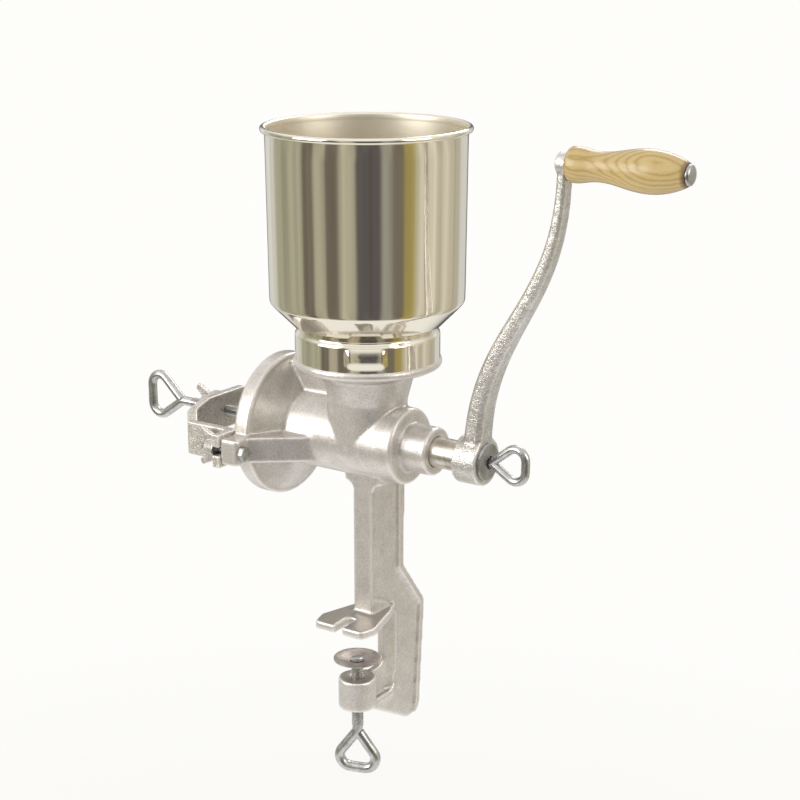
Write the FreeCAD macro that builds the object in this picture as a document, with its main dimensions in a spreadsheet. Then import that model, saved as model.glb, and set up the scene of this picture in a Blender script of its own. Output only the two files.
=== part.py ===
"""Hand crank peanut grinder that clamps to a table: a tinned cast-iron mill body with a sheet-steel hopper,
a feed worm that turns a burr plate against a fixed one, a crank with a wooden grip, and a screw clamp.

Row frame, in millimetres, +Z up: the origin lies on the clamp screw's axis, on the underside of the upper
jaw, where the mill hangs on the table's edge. Most pieces are drawn about the mill's centre, which is where
the hopper's axis meets the shaft's axis: X runs along the shaft to the crank and Z up the hopper.
"""
import FreeCAD, Part
import math
import os
import re
import Sketcher

V = FreeCAD.Vector
doc = FreeCAD.newDocument("PeanutGrinder")
sheet = doc.addObject("Spreadsheet::Sheet", "Sizes")

SIZES = [
    ("hopper_x", -7.5, "hopper axis from the clamp screw, along the shaft"),
    ("shaft_y", 26, "shaft axis behind the clamp screw"),
    ("shaft_z", 134.5, "shaft axis above the jaw's underside"),
    ("barrel_radius", 28, "outside of the feed barrel"),
    ("barrel_bore", 24.6, "radius inside the feed barrel"),
    ("barrel_end", 38, "crank end of the feed barrel from the hopper axis"),
    ("barrel_end_wall", 5, "wall that closes the barrel at the crank end"),
    ("bearing_radius", 17.5, "outside of the bearing boss"),
    ("bearing_end", 60, "end of the bearing boss from the hopper axis"),
    ("bell_reach", 82.6, "front of the burr bell from the hopper axis"),
    ("bell_radius", 53.3, "outside of the bell's rim"),
    ("bell_band", 13.1, "width of the bell's rim band"),
    ("bell_back", 14.5, "length of the cone behind the rim"),
    ("bell_shoulder", 3.2, "step from the rim band to the cone"),
    ("dish_depth", 11.6, "depth of the bell's dish"),
    ("burr_radius", 47.5, "fixed burr plate"),
    ("burr_thickness", 6.5, "thickness of each burr plate"),
    ("burr_bore", 25.2, "hole that the worm passes through"),
    ("burr_gap", 0.4, "gap between the burr plates when closed"),
    ("turning_burr_radius", 45, "rotating burr plate"),
    ("furrow_width", 3, "width of a furrow in a burr plate"),
    ("furrow_depth", 1.5, "depth of a furrow in a burr plate"),
    ("furrow_count", 18, "furrows in a burr plate"),
    ("furrow_lean", 9, "offset of a furrow from the radius"),
    ("seat_gap", 0.3, "clearance of a piece that drops into its seat"),
    ("running_gap", 0.05, "radial clearance of a turning fit"),
    ("throat_radius", 28.7, "throat where it meets the barrel"),
    ("throat_top_radius", 34, "throat under the collar"),
    ("throat_neck", 30, "height where the throat starts to widen"),
    ("collar_base", 50, "height of the collar's foot"),
    ("collar_radius", 53.5, "collar bead that carries the hopper"),
    ("collar_height", 62, "seat of the hopper above the shaft"),
    ("collar_bead", 5, "thickness of the collar bead"),
    ("spigot_height", 16, "spigot that stands inside the hopper's neck"),
    ("spigot_wall", 4, "wall of the spigot"),
    ("sheet_wall", 0.8, "sheet steel of the hopper"),
    ("neck_radius", 52, "outside of the hopper's neck"),
    ("neck_top", 83, "top of the neck above the shaft"),
    ("neck_groove", 2, "depth of the groove rolled round the neck's top"),
    ("groove_height", 3, "height of that groove's lower side"),
    ("foot_round", 2.6, "bend where the hopper's cylinder starts"),
    ("shoulder_top", 103, "foot of the hopper's cylinder"),
    ("hopper_foot_radius", 69.5, "hopper at the cylinder's foot"),
    ("hopper_radius", 71, "hopper under the rim"),
    ("hopper_top", 227, "rim bead above the shaft"),
    ("rim_bead", 2.2, "radius of the rolled rim"),
    ("leg_x", 7.5, "middle of the leg from the hopper axis"),
    ("leg_width", 15.8, "leg along the shaft"),
    ("leg_front", 18.5, "front of the upper leg before the shaft axis"),
    ("leg_back", 23.5, "back of the upper leg above the flare"),
    ("leg_back_top", 26, "back of the upper leg under the barrel"),
    ("flare_start", 102, "start of the leg's flare below the shaft"),
    ("flare_end", 139, "end of the flare below the shaft"),
    ("spine_back", 52, "back of the clamp's spine under the flare"),
    ("spine_front", 12.9, "inner face of the clamp's spine"),
    ("spine_back_low", 45.5, "back of the spine at its low corner"),
    ("spine_low", 224, "low corner of the back below the shaft"),
    ("foot_low", 234.5, "lowest point of the casting below the shaft"),
    ("foot_back", 37, "lowest point behind the shaft"),
    ("arm_drop", 4.5, "lower arm below the tapped boss, at its front"),
    ("jaw_thickness", 6, "upper jaw"),
    ("jaw_lip", 24, "jaw lip in front of the clamp screw"),
    ("jaw_half_width", 20.5, "half width of the jaw at its lip"),
    ("jaw_bulge", 24.5, "half width of the jaw at its widest"),
    ("jaw_root", 15.5, "half width of the jaw beside the leg"),
    ("notch_width", 7, "notch between the jaw's two lobes"),
    ("notch_depth", 20, "depth of the jaw's notch"),
    ("web_depth", 2.4, "depth of the hollow panels in the leg's sides"),
    ("web_rim", 5.6, "raised rim along the panels"),
    ("web_front", 2.4, "rim along the front of the upper leg"),
    ("clamp_rim", 2.2, "rim along the clamp's inner side"),
    ("web_start", 4, "top of the panels below the barrel"),
    ("arm_web_start", -10, "front end of the panels in the lower arm"),
    ("clamp_boss_radius", 14, "tapped boss of the clamp screw"),
    ("clamp_boss_top", 42, "top of the tapped boss below the jaw"),
    ("clamp_boss_height", 23.5, "height of the tapped boss"),
    ("arm_top", 64, "top of the lower arm's full width, below the jaw"),
    ("rib_top", 43, "top of the arm's rib below the jaw"),
    ("nose_width", 5.6, "inner edge of the clamp's frame"),
    ("nose_reach", 8.5, "that edge in front of the spine's full width"),
    ("nose_round", 8, "corner radius of the rib inside the clamp"),
    ("root_run", 8, "how far the leg's root spreads under the barrel"),
    ("clamp_wall", 4.35, "lower arm's front from the clamp screw's rod"),
    ("leg_sink", 8, "how far the leg runs up into the barrel"),
    ("leg_round", 9, "corner radius of the leg's outline"),
    ("ear_top", 2, "top of the ears above the shaft"),
    ("ear_thickness", 15, "lugs of the ears along the shaft"),
    ("brace_foot", 31, "where the ears' braces leave the barrel, from the hopper axis"),
    ("brace_reach", 2.7, "ears' braces outside the bell's rim"),
    ("ear_height", 19, "height of the ears"),
    ("stud_radius", 3, "bridge studs"),
    ("stud_drop", 7.5, "studs below the shaft axis"),
    ("bridge_wall", 7, "thickness of the bridge"),
    ("bridge_reach", 56, "outer face of the bridge from the bell's front"),
    ("bridge_top", 14, "top of the bridge's arch above the shaft"),
    ("bridge_low", 14, "underside of the bridge's arch below the shaft"),
    ("foot_top", 5, "top of the bridge's feet above the shaft"),
    ("bridge_foot_low", 20, "underside of the bridge's feet below the shaft"),
    ("arch_half", 20, "half width of the bridge's arch"),
    ("bridge_half_span", 55, "outside of the bridge's arms"),
    ("bridge_foot", 6.5, "thickness of the bridge's feet"),
    ("bridge_boss_radius", 13, "tapped boss of the bridge"),
    ("bridge_boss", 8, "length of the bridge's boss"),
    ("washer_wall", 1.4, "washers"),
    ("adjuster_radius", 4, "adjusting screw"),
    ("ball_radius", 4.76, "thrust ball"),
    ("stub_radius", 9, "worm's stub in the rotating burr's hub"),
    ("hub_radius", 16, "hub of the rotating burr"),
    ("hub_length", 14, "length of that hub"),
    ("stub_proud", 4, "stub past the hub"),
    ("worm_root", 10, "core of the worm"),
    ("worm_gap", 0.6, "worm to barrel"),
    ("worm_pitch", 27, "lead of the worm"),
    ("flight_wall", 5, "thickness of the worm's flight"),
    ("shaft_radius", 11, "driving shaft in its bearing"),
    ("square_half", 7, "half width of the shaft's square end"),
    ("crank_x", 82, "inner face of the crank's hub"),
    ("crank_hub_length", 19, "crank hub along the shaft"),
    ("crank_hub_radius", 17.3, "crank hub"),
    ("crank_radius", 213, "shaft axis to grip axis"),
    ("grip_plane", 157, "middle of the crank's eye from the hopper axis"),
    ("arm_low_pull", 100, "how far the arm rises before it bends"),
    ("arm_high_pull", 103, "how far the arm stands straight below its eye"),
    ("arm_low_width", 21.5, "arm's width at the hub"),
    ("arm_low_wall", 15, "arm's thickness at the hub"),
    ("arm_high_width", 11, "arm's width at the eye"),
    ("arm_high_wall", 7, "arm's thickness at the eye"),
    ("eye_radius", 7.5, "crank eye"),
    ("eye_thickness", 7.5, "crank eye along the grip"),
    ("pin_radius", 3, "grip pin"),
    ("pin_head_radius", 6.8, "riveted head of the grip pin"),
    ("pin_head", 4, "thickness of that head"),
    ("grip_length", 83, "wooden grip"),
    ("grip_end_radius", 11.8, "grip at the arm"),
    ("grip_waist_radius", 9.6, "grip's waist"),
    ("grip_belly_radius", 14.4, "grip's belly"),
    ("grip_tip_radius", 7.6, "grip's tip"),
    ("grip_play", 0.4, "play of the grip along its pin"),
    ("thumb_rod", 4.5, "crank screw"),
    ("thumb_length", 28, "crank screw inside the shaft"),
    ("thumb_stem", 1.5, "crank screw between the washer and its eye"),
    ("thumb_loop", 27, "eye of the crank screw, along the shaft"),
    ("thumb_loop_half", 17, "half width of that eye's triangle"),
    ("thumb_wire", 3, "radius of that eye's wire"),
    ("adjuster_stem", 21, "adjusting screw outside the lock nut"),
    ("adjuster_loop", 31, "eye of the adjusting screw"),
    ("adjuster_loop_half", 24, "half width of that eye's triangle"),
    ("adjuster_wire", 3.4, "radius of that eye's wire"),
    ("loop_round", 6.5, "bend radius of the eyes"),
    ("clamp_rod", 4.4, "clamp screw"),
    ("pad_drop", 26.5, "pad face below the jaw at rest"),
    ("pad_radius", 17.4, "clamp pad"),
    ("pad_wall", 2.2, "clamp pad's sheet"),
    ("pad_dish", 2.4, "how far the pad's middle is pressed down"),
    ("clamp_stem", 20.5, "clamp screw from the boss to its eye at rest"),
    ("clamp_loop", 31, "eye of the clamp screw"),
    ("clamp_loop_half", 21.5, "half width of that eye's triangle"),
    ("clamp_wire", 4.1, "radius of that eye's wire"),
    ("clamp_eye_turn", 20, "turn of the clamp screw's eye, in degrees"),
    ("nut_radius", 6.9, "wing nuts' hub"),
    ("washer_rim", 0.4, "washers past the wing nuts' hub"),
    ("ear_rim", 5.6, "ears outside the studs"),
    ("fork_reach", 2, "bridge's forked feet past the ears"),
    ("stud_head", 5.8, "hexagon head of the studs, to its corners"),
    ("stud_head_wall", 4.5, "thickness of that head"),
    ("stud_proud", 4, "studs past their wing nuts"),
    ("rivet_rim", 2.2, "riveted head of the clamp screw past its neck"),
    ("nut_length", 9, "wing nuts' hub along the stud"),
    ("wing_span", 14.5, "tip of a wing from the stud"),
    ("lock_wing_span", 17, "tip of the lock nut's wings from the shaft axis"),
    ("wing_rise", 6, "wings past the hub"),
    ("wing_wall", 3.4, "thickness of a wing"),
    ("lock_nut_radius", 9, "lock nut's hub"),
    ("pocket_width", 27, "pressed pocket in the hopper's neck"),
    ("pocket_base", 66, "foot of that pocket above the shaft"),
    ("pocket_height", 13, "height of that pocket"),
    ("pocket_rise", 1.3, "how far the pocket stands out of the neck"),
    ("plate_screw", 2.5, "screws of the fixed burr"),
    ("plate_screw_ring", 36, "circle of those screws"),
    ("plate_screw_bite", 4, "length of those screws in the bell"),
    ("drive_pin", 2.5, "cross pin of the rotating burr"),
    ("ball_seat", 3.5, "depth of the ball's seat"),
    ("crank_washer", 2.4, "thickness of the crank's washer"),
    ("crank_washer_radius", 13.5, "crank's washer"),
    ("thumb_collar", 6.5, "collar of the crank screw"),
    ("pad_hole", 3, "riveted neck of the clamp screw"),
    ("pad_rivet", 1.4, "thickness of its riveted head"),
    ("grip_washer", 0.8, "thickness of the grip's washer"),
    ("stud_y", "=bridge_half_span + nut_radius + washer_rim + seat_gap", "studs from the shaft axis"),
    ("ear_reach", "=stud_y + ear_rim", "outside of the ears from the shaft axis"),
]
for row, (alias, value, note) in enumerate(SIZES, 1):
    sheet.set(f"A{row}", note)
    sheet.set(f"B{row}", str(value))
    sheet.setAlias(f"B{row}", alias)
doc.recompute()
ALIASES = {alias for alias, value, note in SIZES}


def linked(expression):
    """The expression with each size's name as the sheet's cell."""
    return re.sub(r"[a-z_]+", lambda m: "Sizes." + m.group() if m.group() in ALIASES else m.group(), str(expression))


def size(expression):
    """The value of an expression of sizes, in millimetres."""
    return float(sheet.evalExpression(str(expression)))


def bind(thing, path, expression):
    thing.setExpression(path, linked(expression))


def place(thing, x="0", y="0", z="0", about=None, turn=0):
    """Sets a sub-part's origin from the sheet and, where given, turns it about an axis by a fixed angle."""
    if about:
        thing.Placement = FreeCAD.Placement(V(), FreeCAD.Rotation(about, turn))
    for letter, expression in zip("xyz", (x, y, z)):
        bind(thing, "Placement.Base." + letter, expression)


def place_on_mill(thing, x="0", y="0", z="0", about=None, turn=0):
    place(thing, f"hopper_x + ({x})", f"shaft_y + ({y})", f"shaft_z + ({z})", about, turn)


def new_body(label):
    body = doc.addObject("PartDesign::Body", label)
    body.Label = label
    return body


def new_sketch(body, plane, offset=None):
    """A sketch on one of the body's own origin planes, moved along the plane's normal."""
    sketch = body.newObject("Sketcher::SketchObject", body.Label + "_sketch")
    sketch.AttachmentSupport = [(next(f for f in body.Origin.OriginFeatures if f.Role == plane), "")]
    sketch.MapMode = "FlatFace"
    if offset is not None:
        bind(sketch, "AttachmentOffset.Base.z", offset)
    return sketch


def pin(sketch, geometry, point, x, y):
    """Ties a sketch point to its two expressions."""
    for kind, expression, axis in (("DistanceX", x, -2), ("DistanceY", y, -1)):
        if str(expression) == "0":
            sketch.addConstraint(Sketcher.Constraint("PointOnObject", geometry, point, axis))
        else:
            number = sketch.addConstraint(
                Sketcher.Constraint(kind, -1, 1, geometry, point, size(expression)))
            bind(sketch, f"Constraints[{number}]", expression)


def draw_outline(sketch, corners):
    """A closed outline of straight lines through corners that are given as expressions."""
    first = sketch.GeometryCount
    spots = [V(size(x), size(y), 0) for x, y in corners]
    for start, end in zip(spots, spots[1:] + spots[:1]):
        sketch.addGeometry(Part.LineSegment(start, end), False)
    for index, (x, y) in enumerate(corners):
        following = first + (index + 1) % len(corners)
        sketch.addConstraint(Sketcher.Constraint("Coincident", first + index, 2, following, 1))
        pin(sketch, first + index, 1, x, y)


def draw_circle(sketch, x, y, radius):
    number = sketch.addGeometry(Part.Circle(V(size(x), size(y), 0), V(0, 0, 1), size(radius)), False)
    pin(sketch, number, 3, x, y)
    radius_tie = sketch.addConstraint(Sketcher.Constraint("Radius", number, size(radius)))
    bind(sketch, f"Constraints[{radius_tie}]", radius)


def turned(body, kind, axis, corners=(), circle=None):
    """A Revolution or Groove, about the sketch's own H or V axis, of an outline or of one circle."""
    sketch = new_sketch(body, "XZ_Plane")
    if circle:
        draw_circle(sketch, *circle)
    else:
        draw_outline(sketch, corners)
    feature = body.newObject("PartDesign::" + kind, f"{body.Label}_{kind.lower()}")
    feature.Profile = sketch
    feature.ReferenceAxis = (sketch, [axis])
    feature.Angle = 360
    doc.recompute()
    return feature


def padded(body, plane, length, outlines=(), circles=(), offset=None, both=False, kind="Pad", back=False):
    """A Pad or Pocket of outlines and circles; both puts half of its length on each side."""
    sketch = new_sketch(body, plane, offset)
    for corners in outlines:
        draw_outline(sketch, corners)
    for x, y, radius in circles:
        draw_circle(sketch, x, y, radius)
    feature = body.newObject("PartDesign::" + kind, f"{body.Label}_{kind.lower()}")
    feature.Profile = sketch
    bind(feature, "Length", length)
    feature.Midplane = both
    feature.Reversed = back
    doc.recompute()
    return feature


def softened(body, radius, test, kind="Fillet"):
    """Rounds or bevels the edges of the body that pass the test."""
    base = body.Tip
    names = [f"Edge{n}" for n, edge in enumerate(base.Shape.Edges, 1) if test(edge)]
    assert names, "no edges to soften on " + body.Label
    feature = body.newObject("PartDesign::" + kind, f"{body.Label}_{kind.lower()}")
    feature.Base = (base, names)
    bind(feature, "Radius" if kind == "Fillet" else "Size", radius)
    doc.recompute()
    return feature


def same(a, b):
    return abs(a - b) < 0.01


def rings(axis, *spots):
    """Test for whole circles about a main axis, each spot giving its place along the axis and its radius."""
    wanted = [(size(along), size(radius)) for along, radius in spots]

    def test(edge):
        curve = edge.Curve
        if not isinstance(curve, Part.Circle):
            return False
        return any(same(curve.Center["xyz".index(axis)], a) and same(curve.Radius, r) for a, r in wanted)
    return test


def posts(axis, *spots):
    """Test for straight edges along a main axis, each spot giving the other two coordinates."""
    others = [n for n in range(3) if n != "xyz".index(axis)]
    wanted = [tuple(size(value) for value in spot) for spot in spots]

    def test(edge):
        if not isinstance(edge.Curve, (Part.Line, Part.LineSegment)):
            return False
        ends = [v.Point for v in edge.Vertexes]
        return any(all(same(end[n], value) for end in ends for n, value in zip(others, spot)) for spot in wanted)
    return test


def shaped(label, shape):
    """A piece whose shape comes from solid operations that have no sketch."""
    piece = doc.addObject("Part::Feature", label)
    piece.Label = label
    piece.Shape = shape
    return piece


def rounded_ring(corners, bend):
    """A closed flat wire through the corners, the first one sharp and each other one bent to a radius."""
    edges = []
    last = corners[0]
    for index in range(1, len(corners)):
        corner = corners[index]
        ahead = corners[(index + 1) % len(corners)]
        back_way = (corners[index - 1] - corner).normalize()
        next_way = (ahead - corner).normalize()
        half = back_way.getAngle(next_way) / 2
        reach = bend / math.tan(half)
        middle = (back_way + next_way).normalize() * (bend / math.sin(half) - bend)
        start, end = corner + back_way * reach, corner + next_way * reach
        edges.append(Part.LineSegment(last, start).toShape())
        edges.append(Part.Arc(start, corner + middle, end).toShape())
        last = end
    edges.append(Part.LineSegment(last, corners[0]).toShape())
    return Part.Wire(edges)


def eye_loop(length, half_width, wire, bend):
    """The bent eye of a screw: a round wire led round a triangle that starts at the rod's end, along +X."""
    corners = [V(0, 0, 0), V(length, 0, half_width), V(length, 0, -half_width)]
    path = rounded_ring(corners, bend)
    way = (corners[1] - corners[0]).normalize()
    section = Part.Wire(Part.Circle(V(0, 0, 0), way, wire).toShape())
    pipe = Part.BRepOffsetAPI.MakePipeShell(path)
    pipe.add(section)
    pipe.setTransitionMode(1)
    pipe.build()
    pipe.makeSolid()
    return pipe.shape()


# The fixed burr's screws stand on a circle about the shaft, at thirds of a turn.
plate_screw_spots = [(f"-plate_screw_ring * sin({turn})", f"plate_screw_ring * cos({turn})") for turn in (0, 120, 240)]

# Mill body: one iron casting, tinned. The feed barrel runs into the burr bell on one side and into the
# shaft's bearing on the other. The throat and its collar stand on the barrel, and the leg hangs below it.
mill = new_body("mill_body")
turned(mill, "Revolution", "H_Axis", [
    ("-bell_reach", "0"), ("-bell_reach", "bell_radius"),
    ("-(bell_reach - bell_band)", "bell_radius"),
    ("-(bell_reach - bell_band)", "bell_radius - bell_shoulder"),
    ("-(bell_reach - bell_band - bell_back)", "barrel_radius"),
    ("barrel_end", "barrel_radius"), ("barrel_end", "bearing_radius"),
    ("bearing_end", "bearing_radius"), ("bearing_end", "0")])
softened(mill, "2.6", rings("x", ("barrel_end", "barrel_radius")))
softened(mill, "1.6", rings("x", ("-bell_reach", "bell_radius"), ("bearing_end", "bearing_radius")))
turned(mill, "Revolution", "V_Axis", [
    ("0", "0"), ("throat_radius", "0"), ("throat_radius", "throat_neck"),
    ("throat_top_radius", "collar_base"), ("collar_radius - 4", "collar_height - collar_bead - 2"),
    ("collar_radius", "collar_height - collar_bead"), ("collar_radius", "collar_height"),
    ("neck_radius - sheet_wall - seat_gap", "collar_height"),
    ("neck_radius - sheet_wall - seat_gap", "collar_height + spigot_height"),
    ("0", "collar_height + spigot_height")])
softened(mill, "2", rings("z", ("collar_height", "collar_radius"), ("collar_height - collar_bead", "collar_radius")))
arm_front = "-shaft_y + clamp_rod + clamp_wall"
arm_under = "-shaft_z - clamp_boss_top - clamp_boss_height - arm_drop"
leg_corners = [
    ("-leg_front", "-barrel_radius + leg_sink"), ("-leg_front", "-shaft_z"), ("spine_front", "-shaft_z"),
    ("spine_front", "-shaft_z - arm_top"), (arm_front, "-shaft_z - arm_top"),
    (arm_front, arm_under), ("foot_back", "-foot_low"), ("spine_back_low", "-spine_low"),
    ("spine_back", "-flare_end"), ("leg_back", "-flare_start"), ("leg_back_top", "-barrel_radius + leg_sink")]
padded(mill, "YZ_Plane", "leg_width", [leg_corners], offset="leg_x", both=True)
softened(mill, "leg_round", posts("x", ("spine_back_low", "-spine_low"), ("foot_back", "-foot_low"),
                                  ("spine_back", "-flare_end"), ("leg_back", "-flare_start")))
softened(mill, "leg_round", posts("x", ("spine_front", "-shaft_z - arm_top")))
nose_front = "spine_front - nose_reach"
padded(mill, "YZ_Plane", "nose_width", offset="leg_x", both=True, outlines=[[
    ("spine_front + 1", "-shaft_z"), (nose_front, "-shaft_z"), (nose_front, "-shaft_z - rib_top"),
    (arm_front, "-shaft_z - rib_top"), (arm_front, "-shaft_z - arm_top - 1"),
    ("spine_front + 1", "-shaft_z - arm_top - 1")]])
softened(mill, "nose_round", posts("x", (nose_front, "-shaft_z - rib_top")))
half_nose = [("leg_width / 2", "spine_front + 1"), ("leg_width / 2", "spine_front"), ("nose_width / 2", nose_front)]
padded(mill, "XY_Plane", "arm_top + 1", offset="-shaft_z - arm_top - 1", outlines=[
    [("leg_x + " + x, y) for x, y in half_nose] + [(f"leg_x - ({x})", y) for x, y in reversed(half_nose)]])
half_root = [("leg_width / 2 + root_run", "-barrel_radius + leg_sink"), ("leg_width / 2 + root_run", "-barrel_radius"),
             ("leg_width / 2 + root_run * 0.3", "-barrel_radius - root_run * 0.3"),
             ("leg_width / 2 - 1", "-barrel_radius - root_run")]
padded(mill, "XZ_Plane", "2 * leg_front - 1", both=True, outlines=[
    [("leg_x + " + x, z) for x, z in half_root] + [(f"leg_x - ({x})", z) for x, z in reversed(half_root)]])
half_jaw = [
    ("notch_width / 2", "-shaft_y - jaw_lip + notch_depth"), ("notch_width / 2", "-shaft_y - jaw_lip"),
    ("jaw_half_width", "-shaft_y - jaw_lip"), ("jaw_bulge", "-shaft_y - jaw_lip + 14"),
    ("jaw_root", "-shaft_y + 21"), ("leg_width / 2", "spine_front")]
jaw = [("leg_x + " + x, y) for x, y in half_jaw] + [(f"leg_x - ({x})", y) for x, y in reversed(half_jaw)]
padded(mill, "XY_Plane", "jaw_thickness", [jaw], offset="-shaft_z")
softened(mill, "4", posts("z", *[("leg_x + " + x, y) for x, y in half_jaw[2:4]],
                          *[(f"leg_x - ({x})", y) for x, y in half_jaw[2:4]]))
padded(mill, "XY_Plane", "clamp_boss_height", circles=[("leg_x", "-shaft_y", "clamp_boss_radius")],
       offset="-shaft_z - clamp_boss_top - clamp_boss_height")
half_ear = [
    ("-brace_foot", "barrel_radius - 6"), ("-brace_foot", "barrel_radius"),
    ("-bell_reach + ear_thickness", "bell_radius + brace_reach"), ("-bell_reach + ear_thickness", "ear_reach"),
    ("-bell_reach", "ear_reach"), ("-bell_reach", "bell_radius - 8"), ("-bell_reach + 22", "barrel_radius - 6")]
padded(mill, "XY_Plane", "ear_height", [half_ear, [(x, f"-({y})") for x, y in half_ear]],
       offset="ear_top - ear_height")
padded(mill, "XZ_Plane", "leg_width / 2", [[
    ("-throat_radius + 6", "collar_base"), ("-(bell_reach - bell_band)", "bell_radius - 6"),
    ("-(bell_reach - bell_band)", "barrel_radius"), ("-throat_radius + 6", "barrel_radius - 6")]], both=True)
panel = [
    ("-leg_front + web_front", "-barrel_radius - web_start"), ("leg_back - web_rim", "-barrel_radius - web_start"),
    ("leg_back - web_rim", "-flare_start - web_rim / 3"), ("spine_back - web_rim", "-flare_end - web_rim / 3"),
    ("spine_back_low - web_rim", "-spine_low"), ("spine_back_low - web_rim", "-foot_low - web_rim"),
    ("arm_web_start", "-foot_low - web_rim"), ("arm_web_start", "-shaft_z - arm_top - web_rim"),
    ("spine_front + clamp_rim - 4", "-shaft_z - arm_top - web_rim"),
    ("spine_front + clamp_rim", "-shaft_z - arm_top / 2"), ("spine_front + clamp_rim", "-shaft_z - clamp_rim"),
    ("spine_front - 10", "-shaft_z + jaw_thickness + 3"), ("-leg_front + web_front", "-shaft_z + jaw_thickness + 11")]
padded(mill, "YZ_Plane", "web_depth", [panel], offset="leg_x + leg_width / 2", kind="Pocket")
padded(mill, "YZ_Plane", "web_depth", [panel], offset="leg_x - leg_width / 2", kind="Pocket", back=True)
turned(mill, "Groove", "V_Axis", [
    ("0", "0"), ("barrel_bore - 1", "0"), ("barrel_bore - 1", "throat_neck"),
    ("throat_top_radius - 5", "collar_base"),
    ("neck_radius - sheet_wall - seat_gap - spigot_wall", "collar_height + 3"),
    ("neck_radius - sheet_wall - seat_gap - spigot_wall", "collar_height + spigot_height + 1"),
    ("0", "collar_height + spigot_height + 1")])
turned(mill, "Groove", "H_Axis", [
    ("-bell_reach - 1", "0"), ("-bell_reach - 1", "burr_radius + seat_gap"),
    ("-bell_reach + dish_depth", "burr_radius + seat_gap"), ("-bell_reach + dish_depth", "barrel_bore"),
    ("barrel_end - barrel_end_wall", "barrel_bore"),
    ("barrel_end - barrel_end_wall", "shaft_radius + running_gap"),
    ("bearing_end + 1", "shaft_radius + running_gap"), ("bearing_end + 1", "0")])
padded(mill, "XY_Plane", "clamp_boss_height + 2", circles=[("leg_x", "-shaft_y", "clamp_rod + running_gap")],
       offset="-shaft_z - clamp_boss_top + 1", kind="Pocket")
softened(mill, "3.5", posts("z", ("-bell_reach + ear_thickness", "ear_reach"),
                             ("-bell_reach + ear_thickness", "-ear_reach")))
padded(mill, "YZ_Plane", "ear_thickness + 2", offset="-bell_reach", kind="Pocket", back=True,
       circles=[("stud_y", "-stud_drop", "stud_radius"), ("-stud_y", "-stud_drop", "stud_radius")])
padded(mill, "YZ_Plane", "plate_screw_bite + 0.5", circles=[(y, z, "plate_screw") for y, z in plate_screw_spots],
       offset="-bell_reach + dish_depth", kind="Pocket", back=True)
place_on_mill(mill)


# Hopper: spun from sheet steel and polished, with a rolled rim. Its neck drops over the mill's spigot and
# stands on the collar; two pockets are pressed outwards in the neck.
hopper = new_body("hopper")
turned(hopper, "Revolution", "V_Axis", [
    ("neck_radius - sheet_wall", "collar_height"), ("neck_radius", "collar_height"),
    ("neck_radius", "neck_top - groove_height"), ("neck_radius - neck_groove", "neck_top"),
    ("hopper_foot_radius", "shoulder_top"), ("hopper_radius", "hopper_top - rim_bead"),
    ("hopper_radius - sheet_wall", "hopper_top - rim_bead"),
    ("hopper_foot_radius - sheet_wall", "shoulder_top + sheet_wall / 2"),
    ("neck_radius - neck_groove - sheet_wall", "neck_top + sheet_wall / 4"),
    ("neck_radius - sheet_wall", "neck_top - groove_height - sheet_wall / 4")])
softened(hopper, "foot_round", rings("z", ("shoulder_top", "hopper_foot_radius")))
softened(hopper, "foot_round - sheet_wall",
         rings("z", ("shoulder_top + sheet_wall / 2", "hopper_foot_radius - sheet_wall")))
softened(hopper, "2.4", rings("z", ("neck_top + sheet_wall / 4", "neck_radius - neck_groove - sheet_wall"),
                              ("neck_top - groove_height", "neck_radius")))
softened(hopper, "2.4 - sheet_wall", rings("z", ("neck_top", "neck_radius - neck_groove"),
                                           ("neck_top - groove_height - sheet_wall / 4", "neck_radius - sheet_wall")))
turned(hopper, "Revolution", "V_Axis",
       circle=("hopper_radius + rim_bead / 2", "hopper_top - rim_bead", "rim_bead"))
pocket = [("-pocket_width / 2", "pocket_base"), ("pocket_width / 2", "pocket_base"),
          ("pocket_width / 2", "pocket_base + pocket_height"), ("-pocket_width / 2", "pocket_base + pocket_height")]
padded(hopper, "XZ_Plane", "2 * (neck_radius + pocket_rise)", [pocket], both=True)
turned(hopper, "Groove", "V_Axis", [
    ("0", "pocket_base - 1"), ("neck_radius - sheet_wall", "pocket_base - 1"),
    ("neck_radius - sheet_wall", "pocket_base + pocket_height"), ("0", "pocket_base + pocket_height")])
place_on_mill(hopper, about=V(0, 0, 1), turn=34)


def polar(body, feature, axis_role, count):
    """Repeats a feature round one of the body's own axes."""
    pattern = body.newObject("PartDesign::PolarPattern", body.Label + "_pattern")
    pattern.Originals = [feature]
    pattern.Axis = (next(f for f in body.Origin.OriginFeatures if f.Role == axis_role), [""])
    pattern.Angle = 360
    bind(pattern, "Occurrences", count)
    body.Tip = pattern
    doc.recompute()
    return pattern


def furrows(body, radius, back):
    """Cuts the leaning furrows in the grinding face, which lies on the body's YZ plane."""
    cut = padded(body, "YZ_Plane", "furrow_depth", [[
        ("burr_bore - 2", "furrow_lean"), (f"{radius} + 2", "furrow_lean"),
        (f"{radius} + 2", "furrow_lean + furrow_width"), ("burr_bore - 2", "furrow_lean + furrow_width / 2")]],
        kind="Pocket", back=back)
    polar(body, cut, "X_Axis", "furrow_count")


# Burr plates: hard cast-iron discs. The fixed one drops into the bell's dish and is held by three screws. The
# rotating one has a hub that slides on the worm's stub and is driven by a cross pin.
fixed_burr = new_body("fixed_burr_plate")
padded(fixed_burr, "YZ_Plane", "burr_thickness", circles=[("0", "0", "burr_radius"), ("0", "0", "burr_bore")])
furrows(fixed_burr, "burr_radius", True)
screw_hole = padded(fixed_burr, "YZ_Plane", "burr_thickness", circles=[("0", "plate_screw_ring", "plate_screw")],
                    kind="Pocket", back=True)
polar(fixed_burr, screw_hole, "X_Axis", "3")
place_on_mill(fixed_burr, "-bell_reach + dish_depth - burr_thickness")

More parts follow.
